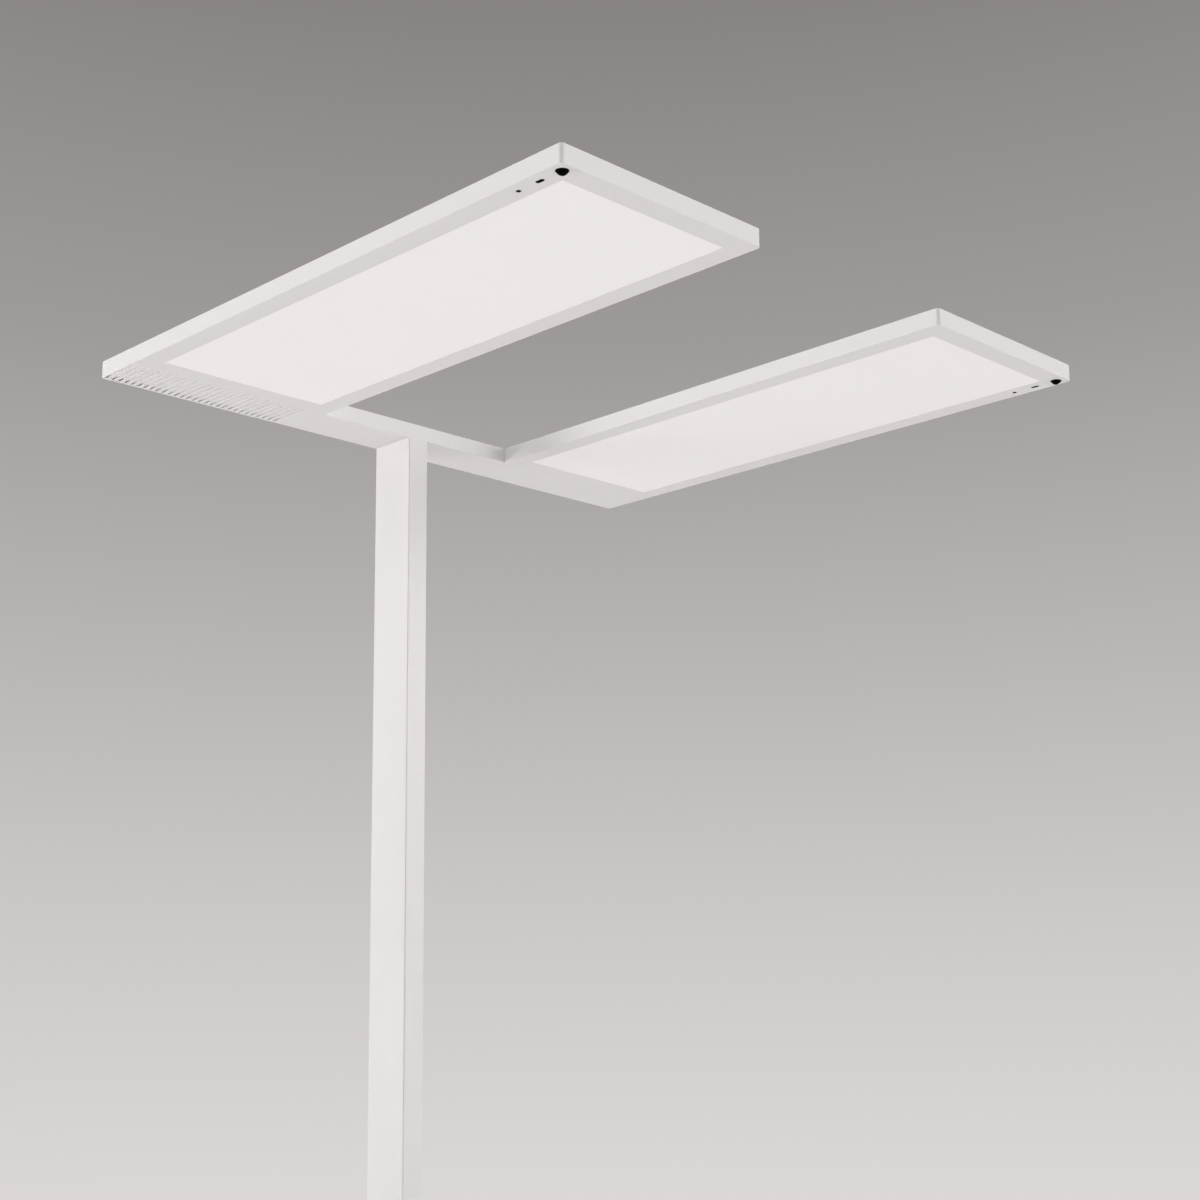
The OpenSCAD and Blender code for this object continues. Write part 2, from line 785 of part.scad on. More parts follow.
// Terminal block beside the mounting plate, with a row of screw holes
module head_terminal() {
    color("ivory") difference() {
        block(
            [terminal_x0, post_y - terminal_w / 2, floor_z],
            [terminal_x0 + terminal_len, post_y + terminal_w / 2, floor_z + terminal_h]
        );
        for (i = [0:terminal_ways - 1]) {
            x = terminal_x0 + terminal_len * (i + 0.5) / terminal_ways;
            translate([x, post_y - terminal_w / 3, floor_z + terminal_h - terminal_recess]) {
                cylinder(d = terminal_hole_d, h = terminal_recess + over);
            }
        }
    }
}

// Looms from the head terminal to the driver and to the control module
module crossbar_looms() {
    driver_end = device_x + driver_len;
    module_end = -device_x - module_len;
    color("gray") {
        rod_x([driver_end, device_y, floor_z + terminal_h / 2], loom_r, terminal_x0 - driver_end);
        rod_x(
            [terminal_x0 + terminal_len, cross_loom_y, mount_z + loom_gap + loom_r],
            loom_r, module_end - terminal_x0 - terminal_len
        );
    }
}

// ---- Arms, drawn for the left side ----

module arm_frame() {
    color("white") {
        difference() {
            round_block([arm_x0, head_y0, head_z0], [arm_x1, cross_y0, lamp_h], corner_r, 0);
            round_block(
                [arm_x0 + wall_t, head_y0 + wall_t, floor_z],
                [arm_x1 - wall_t, cross_y0 - wall_t, lamp_h + over],
                corner_r - wall_t, 0
            );
            arm_lid_space(lid_z, lamp_h + over, 0);
            block([win_lo[0], win_lo[1], head_z0 - over], [win_hi[0], win_hi[1], floor_z + over]);
            translate([sensor_x, dome_y, head_z0 - over]) {
                cylinder(d = dome_d + 2 * sensor_gap, h = floor_t + 2 * over);
            }
            light_slot(head_z0 - over, floor_t + 2 * over, sensor_gap);
            translate([sensor_x, status_y, head_z0 - over]) {
                cylinder(d = status_d + 2 * sensor_gap, h = floor_t + 2 * over);
            }
            wall_holes(cross_y0 - wall_t);
        }
        at_arm_pillars() lid_pillar();
    }
}

// Space of an arm's lid, drawn in by a gap all round
module arm_lid_space(z0, z1, gap) {
    edge = wall_t - lid_seat + gap;
    round_block(
        [arm_x0 + edge, head_y0 + edge, z0], [arm_x1 - edge, cross_y0 - edge, z1],
        corner_r - edge, 0
    );
}

module arm_lid() {
    color("white") difference() {
        arm_lid_space(lid_z, lamp_h, fit_gap);
        translate([mid_x - uplight_w / 2, mid_y - uplight_len / 2, lid_z - over]) {
            cube([uplight_w, uplight_len, lid_t + 2 * over]);
        }
        at_arm_pillars() lid_hole();
    }
}

// Cover of the uplight: its face fills the lid's window, and its edge lies under the lid
module uplight_cover() {
    face = [uplight_w - 2 * fit_gap, uplight_len - 2 * fit_gap];
    edge = [uplight_w + 2 * uplight_lap, uplight_len + 2 * uplight_lap];
    color("white") {
        translate([mid_x - face[0] / 2, mid_y - face[1] / 2, lid_z]) cube([face[0], face[1], lid_t]);
        translate([mid_x - edge[0] / 2, mid_y - edge[1] / 2, lid_z - uplight_edge_t]) {
            cube([edge[0], edge[1], uplight_edge_t]);
        }
    }
}

// Uplight board with a row of LED chips
module uplight_board() {
    w = uplight_w - 2 * uplight_margin;
    d = uplight_len - 2 * uplight_margin;
    chips = floor(d / uplight_pitch);
    color("snow") {
        translate([mid_x - w / 2, mid_y - d / 2, uplight_z]) cube([w, d, uplight_board_t]);
        for (i = [0:chips - 1]) {
            y = mid_y + (i - (chips - 1) / 2) * uplight_pitch;
            translate([mid_x - chip_w / 2, y - chip_w / 2, uplight_z + uplight_board_t]) {
                cube([chip_w, chip_w, chip_h]);
            }
        }
    }
}

// Opal panel: its face sits in the window, and its edge lies on the frame's floor
module light_panel() {
    color("snow") {
        block(
            [win_lo[0] + fit_gap, win_lo[1] + fit_gap, head_z0 + panel_inset],
            [win_hi[0] - fit_gap, win_hi[1] - fit_gap, floor_z]
        );
        stack_sheet(floor_z, panel_edge_t);
    }
}

// Sheet of the stack above the window
module stack_sheet(z, t) {
    block([stack_lo[0], stack_lo[1], z], [stack_hi[0], stack_hi[1], z + t]);
}

module light_guide() {
    color("lightcyan") stack_sheet(guide_z, guide_t);
}

module reflector() {
    color("white") stack_sheet(reflector_z, reflector_t);
}

// Backing plate over the reflector and both LED bars
module backing_plate() {
    color("silver") block(
        [led_side_x, stack_lo[1], backing_z],
        [stack_hi[0] + led_reach, stack_hi[1], backing_z + backing_t]
    );
}

// LED bars on edge beside the light guide, with their chips against the guide
module led_bars() {
    y0 = stack_lo[1] + led_bar_margin;
    y1 = stack_hi[1] - led_bar_margin;
    chips = floor((y1 - y0) / edge_pitch);
    chip_z = guide_z + (guide_t - chip_w) / 2;
    color("snow") {
        block([led_side_x, y0, floor_z], [stack_lo[0] - led_gap, y1, backing_z]);
        block([stack_hi[0] + led_gap, y0, floor_z], [stack_hi[0] + led_reach, y1, backing_z]);
        for (i = [0:chips - 1]) {
            y = mid_y + (i - (chips - 1) / 2) * edge_pitch;
            translate([stack_lo[0] - led_gap, y - chip_w / 2, chip_z]) cube([led_gap, chip_w, chip_w]);
            translate([stack_hi[0], y - chip_w / 2, chip_z]) cube([led_gap, chip_w, chip_w]);
        }
    }
}

// Spherical cap below the head's underside
module lens_cap(r, drop) {
    sphere_r = (r * r + drop * drop) / (2 * drop);
    intersection() {
        translate([0, 0, sphere_r - drop]) sphere(r = sphere_r);
        translate([0, 0, -drop - over]) cylinder(r = r, h = drop + over);
    }
}

// Presence sensor's lens: a dome below the head, a collar in the hole and a flange on the floor
module sensor_dome() {
    r = dome_d / 2;
    color("black") translate([sensor_x, dome_y, head_z0]) difference() {
        union() {
            lens_cap(r, dome_drop);
            cylinder(r = r, h = floor_t);
            translate([0, 0, floor_t]) cylinder(r = r + sensor_flange_w, h = sensor_flange_t);
        }
        cylinder(r = r - sensor_flange_w, h = floor_t + sensor_flange_t + over);
    }
}

// Stadium-shaped outline of the light-sensor window, grown by a gap
module light_slot(z, h, gap) {
    slot_y(
        sensor_x, light_win_y - light_win_len / 2 - gap, light_win_y + light_win_len / 2 + gap,
        z, light_win_w + 2 * gap, h
    );
}

module light_window() {
    color("black") {
        light_slot(head_z0, floor_t, 0);
        light_slot(floor_z, sensor_flange_t, sensor_flange_w);
    }
}

module status_window() {
    color("black") translate([sensor_x, status_y, head_z0]) {
        lens_cap(status_d / 2, status_drop);
        cylinder(d = status_d, h = floor_t);
        translate([0, 0, floor_t]) cylinder(d = status_d + 2 * sensor_flange_w, h = sensor_flange_t);
    }
}

// Sensor board on the three flanges, with the sensor's can in the dome and a plug at its back end
module sensor_board() {
    color("seagreen") {
        block(
            [sensor_board_x0, sensor_board_y0, sensor_board_z],
            [sensor_board_x1, sensor_board_y1, sensor_board_z + board_t]
        );
        translate([sensor_x, dome_y, sensor_board_z - can_h]) cylinder(d = can_d, h = can_h);
        block(
            [loom_x - plug_len / 2, sensor_board_y1, loom_z - loom_r],
            [sensor_board_x1, sensor_board_y1 + plug_len, loom_z - loom_r + plug_h]
        );
    }
}

// Bar inside the arm, against its back wall, that the joint screws are screwed into
module joint_bar() {
    color("gray") difference() {
        block(
            [arm_x0 + joint_bar_end, joint_bar_y0, joint_z - joint_bar_h / 2],
            [arm_x1 - joint_bar_end, cross_y0 - wall_t, joint_z + joint_bar_h / 2]
        );
        for (i = [0:joint_screws - 1]) {
            rod_y(
                [joint_first + i * joint_pitch, joint_bar_y0 - over, joint_z],
                joint_screw_d / 2 + screw_gap, joint_bar_t + 2 * over
            );
        }
    }
}

// Loom from the sensor board to the driver or the control module
module arm_loom() {
    y0 = sensor_board_y1 + plug_len;
    y1 = loom_turn_y - loom_bend;
    color("gray") {
        rod_y([loom_x, y0, loom_z], loom_r, y1 - y0);
        translate([loom_x + loom_bend, y1, loom_z]) rotate([0, 0, 90]) {
            rotate_extrude(angle = 90) translate([loom_bend, 0]) circle(r = loom_r);
        }
        rod_x([loom_x + loom_bend, loom_turn_y, loom_z], loom_r, device_x - loom_x - loom_bend);
    }
}

// ---- Fasteners of the head ----

module joint_screws_all() {
    color("silver") for (right = [false, true]) on_side(right) at_joint_screws() {
        rotate([-90, 0, 0]) cylinder(d = joint_head_d, h = joint_head_t);
        translate([0, -2 * wall_t - joint_bar_t, 0]) rotate([-90, 0, 0]) {
            cylinder(d = joint_screw_d, h = 2 * wall_t + joint_bar_t);
        }
    }
}

module lid_screws() {
    color("silver") {
        for (right = [false, true]) on_side(right) at_arm_pillars() lid_screw();
        at_cross_pillars() lid_screw();
    }
}

base_plate();
foot_pad(-foot_x, foot_y0);  // foot_pad_front_left
foot_pad(foot_x, foot_y0);  // foot_pad_front_right
foot_pad(-foot_x, foot_y1);  // foot_pad_back_left
foot_pad(foot_x, foot_y1);  // foot_pad_back_right
foot_stud(-foot_x, foot_y0);  // foot_stud_front_left
foot_stud(foot_x, foot_y0);  // foot_stud_front_right
foot_stud(-foot_x, foot_y1);  // foot_stud_back_left
foot_stud(foot_x, foot_y1);  // foot_stud_back_right
base_screws();
post();
foot_block();
foot_terminal();
cable_bush();
post_loom();
head_block();
mount_plate();
head_screws();
control_panel();
button(panel_h + button_pitch / 2);  // button_upper
button(panel_h - button_pitch / 2);  // button_lower
button_board();
crossbar_frame();
crossbar_lid();
driver();
control_module();
head_terminal();
crossbar_looms();
on_side(false) arm_frame();  // arm_frame_left
on_side(true) arm_frame();  // arm_frame_right
on_side(false) arm_lid();  // arm_lid_left
on_side(true) arm_lid();  // arm_lid_right
on_side(false) joint_bar();  // joint_bar_left
on_side(true) joint_bar();  // joint_bar_right
joint_screws_all();  // joint_screws
lid_screws();
on_side(false) light_panel();  // panel_left
on_side(true) light_panel();  // panel_right
on_side(false) light_guide();  // light_guide_left
on_side(true) light_guide();  // light_guide_right
on_side(false) reflector();  // reflector_left
on_side(true) reflector();  // reflector_right
on_side(false) led_bars();  // led_bars_left
on_side(true) led_bars();  // led_bars_right
on_side(false) backing_plate();  // backing_plate_left
on_side(true) backing_plate();  // backing_plate_right
on_side(false) uplight_board();  // uplight_board_left
on_side(true) uplight_board();  // uplight_board_right
on_side(false) uplight_cover();  // uplight_cover_left
on_side(true) uplight_cover();  // uplight_cover_right
on_side(false) sensor_board();  // sensor_board_left
on_side(true) sensor_board();  // sensor_board_right
on_side(false) sensor_dome();  // sensor_dome_left
on_side(true) sensor_dome();  // sensor_dome_right
on_side(false) light_window();  // light_window_left
on_side(true) light_window();  // light_window_right
on_side(false) status_window();  // status_window_left
on_side(true) status_window();  // status_window_right
on_side(false) arm_loom();  // arm_loom_left
on_side(true) arm_loom();  // arm_loom_right
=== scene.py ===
"""Looks of a free-standing office lamp: a flat, fork-shaped head on a slim post with a flat base plate.

Metres, +Z up. The two arms of the head point to -Y, and the post stands at the back (+Y).
"""
import json
import math

import bmesh
import bpy
from mathutils import Matrix, Vector


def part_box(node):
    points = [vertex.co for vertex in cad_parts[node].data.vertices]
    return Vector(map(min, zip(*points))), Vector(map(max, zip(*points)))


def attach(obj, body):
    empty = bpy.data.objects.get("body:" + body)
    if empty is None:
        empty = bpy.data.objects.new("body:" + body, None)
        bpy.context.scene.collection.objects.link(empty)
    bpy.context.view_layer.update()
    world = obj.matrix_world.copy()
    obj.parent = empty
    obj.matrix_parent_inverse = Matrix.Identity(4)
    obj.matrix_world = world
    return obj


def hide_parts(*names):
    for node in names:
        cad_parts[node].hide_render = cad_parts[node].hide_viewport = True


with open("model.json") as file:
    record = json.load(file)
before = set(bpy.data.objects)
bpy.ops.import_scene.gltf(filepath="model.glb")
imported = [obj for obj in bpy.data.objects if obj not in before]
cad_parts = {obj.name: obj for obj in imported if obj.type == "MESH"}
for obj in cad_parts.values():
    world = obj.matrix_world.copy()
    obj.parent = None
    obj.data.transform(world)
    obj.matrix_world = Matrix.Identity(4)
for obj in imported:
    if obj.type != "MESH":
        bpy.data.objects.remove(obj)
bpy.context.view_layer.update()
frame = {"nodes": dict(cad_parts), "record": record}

MM = 0.001
SIDES = ("left", "right")

# Numbers of the axes
X, Y, Z = range(3)

# Walls, laps and gaps, as in the construction model
WALL = 2.5 * MM
LID_REBATE = 1.3 * MM
LID_GAP = 0.3 * MM
LID_EDGE = LID_REBATE + LID_GAP
CORNER_R = 5 * MM
PANEL_LAP = 4 * MM
UPLIGHT_LAP = 3 * MM
POST_WALL = 3 * MM
POST_R = 2 * MM

# Pillars and screws
PILLAR_R = 4 * MM
PILLAR_IN = 8 * MM
SCREW_GAP = 0.1 * MM
LID_SCREW_R = 1.5 * MM
LID_SCREW_DEPTH = 8 * MM
POST_SCREW_R = 3 * MM
POST_SCREW_X = 9 * MM
POST_SCREW_Y = 28 * MM

# Rounding of the edges, and the play of the opal panel in its window
EDGE = 0.5 * MM
LIP = 0.3 * MM
FINE_EDGE = 0.2 * MM
PANEL_GAP = 0.05 * MM

# Fineness of the meshes
EDGE_STEPS = 4
CORNER_STEPS = 8
LENS_STEPS = 14
DISH_STEPS = 8
ROUND_STEPS = 48
SHARP_ANGLE = math.radians(35)
WELD = 1e-6

record = frame["record"]
slot_of = {part["node"]: part["material_slot"] for part in record["subparts"]}
body_of = {node: body for body, nodes in record["behaviour"]["bodies"].items() for node in nodes}

arm_lo, arm_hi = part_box("arm_frame_left")
cross_lo, cross_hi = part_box("crossbar_frame")
post_lo, post_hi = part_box("post")
base_lo, base_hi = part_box("base_plate")
head_z0, head_z1 = arm_lo.z, arm_hi.z
lid_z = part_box("arm_lid_left")[0].z

# The driver stands on the trays' floor
floor_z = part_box("driver")[0].z

post_y = (post_lo.y + post_hi.y) / 2
post_screws = [(x, post_y + y) for x in (-POST_SCREW_X, POST_SCREW_X) for y in (-POST_SCREW_Y, POST_SCREW_Y)]


# ---- Outlines: each is a list of points, anticlockwise ----

def arc(centre, radius, start, turn, steps):
    """Points of an arc, with angles in degrees."""
    angles = (math.radians(start + turn * i / steps) for i in range(steps + 1))
    return [(centre[0] + radius * math.cos(a), centre[1] + radius * math.sin(a)) for a in angles]


def circle(centre, radius, steps=ROUND_STEPS):
    return arc(centre, radius, 0, 360, steps)[:-1]


def corner(point, towards, radius, start):
    """A rounded corner: towards says on which sides of the point the outline lies."""
    centre = (point[0] + towards[0] * radius, point[1] + towards[1] * radius)
    return arc(centre, radius, start, 90, CORNER_STEPS)


def drawn_in(lo, hi, margin):
    """Two opposite corners of a rectangle, moved inwards by a margin."""
    return (lo[0] + margin, lo[1] + margin), (hi[0] - margin, hi[1] - margin)


def rectangle(lo, hi, radii, inset=0.0, back=None):
    """Rectangle drawn in by an inset, from its left front corner. radii are those of its corners, or one for
    all, and back is the inset of its back side where that differs."""
    if not isinstance(radii, tuple):
        radii = (radii,) * 4
    x = (lo[0] + inset, hi[0] - inset)
    y = (lo[1] + inset, hi[1] - (inset if back is None else back))
    places = ((x[0], y[0], 1, 1), (x[1], y[0], -1, 1), (x[1], y[1], -1, -1), (x[0], y[1], 1, -1))
    points = []
    for i, (px, py, to_x, to_y) in enumerate(places):
        if radii[i]:
            points += corner((px, py), (to_x, to_y), max(radii[i] - inset, FINE_EDGE), 180 + 90 * i)
        else:
            points.append((px, py))
    return points


def hexagon(centre, across):
    """Hexagon with as many points as a circle, so that the two can be joined."""
    points = []
    for i in range(ROUND_STEPS):
        angle = 2 * math.pi * i / ROUND_STEPS
        radius = across / 2 / math.cos(angle % (math.pi / 3) - math.pi / 6)
        points.append((centre[0] + radius * math.cos(angle), centre[1] + radius * math.sin(angle)))
    return points


def edged(shape, start, end, first=0.0, last=0.0):
    """Rings of a shape from one height to another. Its edges are rounded by the radii first and last, and are
    sharp where these are 0. shape(inset) gives its outline."""
    sign = math.copysign(1, end - start)
    quarter = [math.radians(90 * i / EDGE_STEPS) for i in range(EDGE_STEPS + 1)]
    rings = []
    for a in quarter if first else quarter[-1:]:
        rings.append((shape(first - first * math.sin(a)), start + sign * (first - first * math.cos(a))))
    for a in quarter if last else quarter[:1]:
        rings.append((shape(last - last * math.cos(a)), end - sign * (last - last * math.sin(a))))
    return rings


# ---- Directions in which rings are stacked ----

def upwards(u, v, h):
    return (u, v, h)


def backwards(u, v, h):
    return (u, h, v)


def rightwards(u, v, h):
    return (h, u, v)


# ---- Meshes and objects ----

def link(thing):
    bpy.context.scene.collection.objects.link(thing)


class Solid:
    """A mesh made of rings of points, joined by strips of quads, and of flat faces with holes."""

    def __init__(self):
        self.bm = bmesh.new()

    def tube(self, rings, place=upwards, closed=False, caps=(False, False)):
        """Joins rings of (points, height). caps says whether the first and the last ring are filled."""
        made = [[self.bm.verts.new(place(u, v, height)) for u, v in points] for points, height in rings]
        pairs = list(zip(made, made[1:]))
        if closed:
            pairs.append((made[-1], made[0]))
        for a, b in pairs:
            for i in range(len(a)):
                self.bm.faces.new((a[i - 1], a[i], b[i], b[i - 1]))
        for ring, filled in zip((made[0], made[-1]), caps):
            if filled:
                self.bm.faces.new(ring)

    def turned(self, profile, centre, place=upwards):
        """Solid of revolution round an axis through centre. profile is a list of (radius, height)."""
        self.tube([(circle(centre, radius), height) for radius, height in profile], place)

    def weld(self):
        bmesh.ops.remove_doubles(self.bm, verts=self.bm.verts, dist=WELD)

    def in_plane(self, items, axis, level):
        """Those of the faces or edges whose points are all at one level of an axis."""
        return [item for item in items if all(abs(v.co[axis] - level) < WELD for v in item.verts)]

    def clear(self, axis, *levels):
        """Takes away the faces in planes, so that they can be filled again round holes."""
        self.weld()
        for level in levels:
            bmesh.ops.delete(self.bm, geom=self.in_plane(self.bm.faces, axis, level), context="FACES")

    def fill(self, axis, *levels):
        """Fills what is open in planes, round the holes in them."""
        self.weld()
        normal = [float(i == axis) for i in range(3)]
        for level in levels:
            edges = [e for e in self.in_plane(self.bm.edges, axis, level) if len(e.link_faces) < 2]
            bmesh.ops.triangle_fill(self.bm, edges=edges, use_beauty=True, normal=normal)

    def shown_as(self, name, material):
        """Makes the mesh an object of the scene, with smooth shading."""
        mesh = bpy.data.meshes.new(name)
        self.bm.to_mesh(mesh)
        self.bm.free()
        mesh.shade_smooth()
        mesh.materials.append(material)
        piece = bpy.data.objects.new(name, mesh)
        link(piece)
        return piece

    def stand_for(self, node, mirrored=False):
        """Makes the piece that is shown in place of a CAD node."""
        self.weld()
        if mirrored:
            bmesh.ops.transform(self.bm, matrix=Matrix.Scale(-1, 4, (1, 0, 0)), verts=self.bm.verts)
        bmesh.ops.recalc_face_normals(self.bm, faces=self.bm.faces)
        piece = self.shown_as(node + "_detailed", materials[slot_of[node]])
        piece.data.set_sharp_from_angle(angle=SHARP_ANGLE)
        piece.modifiers.new("even_shading", "WEIGHTED_NORMAL").keep_sharp = True
        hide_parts(node)
        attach(piece, body_of[node])

    def stand_for_side(self, part, side):
        """The same for a part of one side: it is drawn for the left one, and mirrored for the right one."""
        self.stand_for(f"{part}_{side}", mirrored=side == "right")


# ---- Materials: scales of noise are in cells per metre ----

# Noise has values from 0 to 1, and most of them lie in this reach
NOISE_REACH = (0.3, 0.7)

# Paint and plastic: PEEL_CELLS is how many cells of grain are as wide as one of the orange peel
CLOUD_SCALE = 3.0
ROUGHNESS_SCALE = 40.0
ROUGHNESS_DRIFT = 0.08
PEEL_CELLS = 5

# Metal: tints and roughness are factors of what is given
STREAK_SCALE = 60.0
STREAK_DEPTH = 0.004 * MM
STREAK_ROUGHNESS = (0.75, 1.3)
BLOTCH_SCALE = 120.0
BLOTCH_REACH = (0.35, 0.65)
BLOTCH_TINTS = (0.88, 1.08)

# Circuit boards: TRACK_EDGE is how far from a cell's border a track ends, in cells
TRACK_EDGE = (0.05, 0.09)
TRACK_RISE = 0.02 * MM
MASK_SCALE = 300.0
MASK_ROUGHNESS = (0.3, 0.4)

# Sleeves of the looms
RIB_SCALE = 160.0
RIB_WOBBLE = 0.6
RIB_RISE = 0.2 * MM
# Darker and lighter copies of the sleeve's colour: painted shade in the weave's troughs, painted highlight on
# its ribs
RIB_SHADE_TINTS = (0.7, 1.2)
RIB_ROUGHNESS = (0.6, 0.75)


class Shader:
    """A material's node tree, with a shorter way to add nodes."""

    def __init__(self, name):
        self.material = bpy.data.materials.new(name)
        self.material.use_nodes = True
        self.tree = self.material.node_tree
        self.tree.nodes.clear()

    def add(self, kind, inputs=None, **settings):
        """Adds a node. inputs are numbers, colours or outputs of other nodes."""
        node = self.tree.nodes.new("ShaderNode" + kind)
        for key, value in settings.items():
            setattr(node, key, value)
        for key, value in (inputs or {}).items():
            if isinstance(value, bpy.types.NodeSocket):
                self.tree.links.new(value, node.inputs[key])
            else:
                node.inputs[key].default_value = value
        return node

    def place(self, factors=None):
        """Where a point is on the object, with its coordinates multiplied by factors if these are given."""
        where = self.add("TexCoord").outputs["Object"]
        if factors:
            where = self.add("Mapping", {"Vector": where, "Scale": factors}).outputs["Vector"]
        return where

    def noise(self, where, scale, detail=2.0):
        inputs = {"Vector": where, "Scale": scale, "Detail": detail}
        return self.add("TexNoise", inputs).outputs["Fac"]

    def ramp(self, value, stops):
        """Colours, or greys, over a value from 0 to 1."""
        node = self.add("ValToRGB", {"Fac": value})
        elements = node.color_ramp.elements
        while len(elements) < len(stops):
            elements.new(0.5)
        for element, (position, colour) in zip(elements, stops):
            element.position = position
            element.color = (*colour, 1) if isinstance(colour, tuple) else (colour, colour, colour, 1)
        return node.outputs["Color"]

    def fade(self, value, reach, low, high):
        """Ramp from one colour, or grey, to another over a reach of the value."""
        return self.ramp(value, [(reach[0], low), (reach[1], high)])

    def between(self, value, low, high):
        """A value that has the usual reach of noise, taken to another range."""
        inputs = {"Value": value, "From Min": NOISE_REACH[0], "From Max": NOISE_REACH[1]}
        return self.add("MapRange", {**inputs, "To Min": low, "To Max": high}).outputs["Result"]

    def bump(self, height, distance, below=None):
        inputs = {"Height": height, "Distance": distance, "Strength": 1.0}
        if below:
            inputs["Normal"] = below
        return self.add("Bump", inputs).outputs["Normal"]

    def surface(self, **inputs):
        """Ends the tree with a surface. Its inputs are named in small letters, with underscores."""
        names = {key.replace("_", " ").title().replace("Ior", "IOR"): value for key, value in inputs.items()}
        shader = self.add("BsdfPrincipled", names)
        self.add("OutputMaterial", {"Surface": shader.outputs["BSDF"]})
        return self.material


def tinted(colour, factor):
    return tuple(channel * factor for channel in colour)


def moulded(name, colour, roughness, variation=0.01, grain=0.015 * MM, grain_scale=1400.0, **extra):
    """Paint or plastic: a colour that drifts a little, with fine grain over a soft orange peel."""
    shader = Shader(name)
    where = shader.place()
    cloud = shader.noise(where, CLOUD_SCALE, detail=3.0)
    fine = shader.noise(where, grain_scale, detail=3.0)
    peel = shader.noise(where, grain_scale / PEEL_CELLS, detail=1.0)
    tone = shader.fade(cloud, NOISE_REACH, tinted(colour, 1 - variation), tinted(colour, 1 + variation))
    drift = shader.noise(where, ROUGHNESS_SCALE)
    rough = shader.between(drift, roughness * (1 - ROUGHNESS_DRIFT), roughness * (1 + ROUGHNESS_DRIFT))
    normal = shader.bump(fine, grain, shader.bump(peel, grain))
    return shader.surface(base_color=tone, roughness=rough, normal=normal, **extra)


def metal(name, colour, roughness, squeeze):
    """Rolled or turned metal: faint blotches of its plating, and streaks, which squeeze makes narrow along an
    axis."""
    shader = Shader(name)
    lines = shader.noise(shader.place(squeeze), STREAK_SCALE, detail=4.0)
    blotch = shader.noise(shader.place(), BLOTCH_SCALE, detail=3.0)
    tone = shader.fade(blotch, BLOTCH_REACH, *(tinted(colour, factor) for factor in BLOTCH_TINTS))
    rough = shader.between(lines, *(roughness * factor for factor in STREAK_ROUGHNESS))
    normal = shader.bump(lines, STREAK_DEPTH)
    return shader.surface(base_color=tone, roughness=rough, normal=normal, metallic=1.0)


def board(name, colour, trace, scale):
    """Circuit board: solder mask with raised tracks between pads."""
    shader = Shader(name)
    where = shader.place()
    inputs = {"Vector": where, "Scale": scale}
    cells = shader.add("TexVoronoi", inputs, feature="DISTANCE_TO_EDGE", distance="MANHATTAN")
    track = shader.fade(cells.outputs["Distance"], TRACK_EDGE, 1.0, 0.0)
    tone = shader.fade(cells.outputs["Distance"], TRACK_EDGE, trace, colour)
    rough = shader.between(shader.noise(where, MASK_SCALE), *MASK_ROUGHNESS)
    return shader.surface(base_color=tone, roughness=rough, normal=shader.bump(track, TRACK_RISE))


def sleeved(name, colour):
    """Braided sleeve of a loom: crossing ribs, 2 mm apart. Its colour is darker in the troughs of the weave
    and lighter on the ribs: painted shade and painted highlight.
    """
    shader = Shader(name)
    inputs = {"Vector": shader.place(), "Scale": RIB_SCALE, "Distortion": RIB_WOBBLE}
    waves = [shader.add("TexWave", inputs, bands_direction=axis).outputs["Fac"] for axis in ("X", "Y", "Z")]
    both = shader.add("Math", {0: waves[0], 1: waves[1]}, operation="MAXIMUM").outputs["Value"]
    weave = shader.add("Math", {0: both, 1: waves[2]}, operation="MULTIPLY").outputs["Value"]
    # Painted shade and highlight: the colour follows the ribs' height, darker where it is low and lighter
    # where it is high
    tone = shader.fade(weave, (0.0, 1.0), *(tinted(colour, factor) for factor in RIB_SHADE_TINTS))
    rough = shader.between(weave, *RIB_ROUGHNESS)
    return shader.surface(base_color=tone, roughness=rough, normal=shader.bump(weave, RIB_RISE))


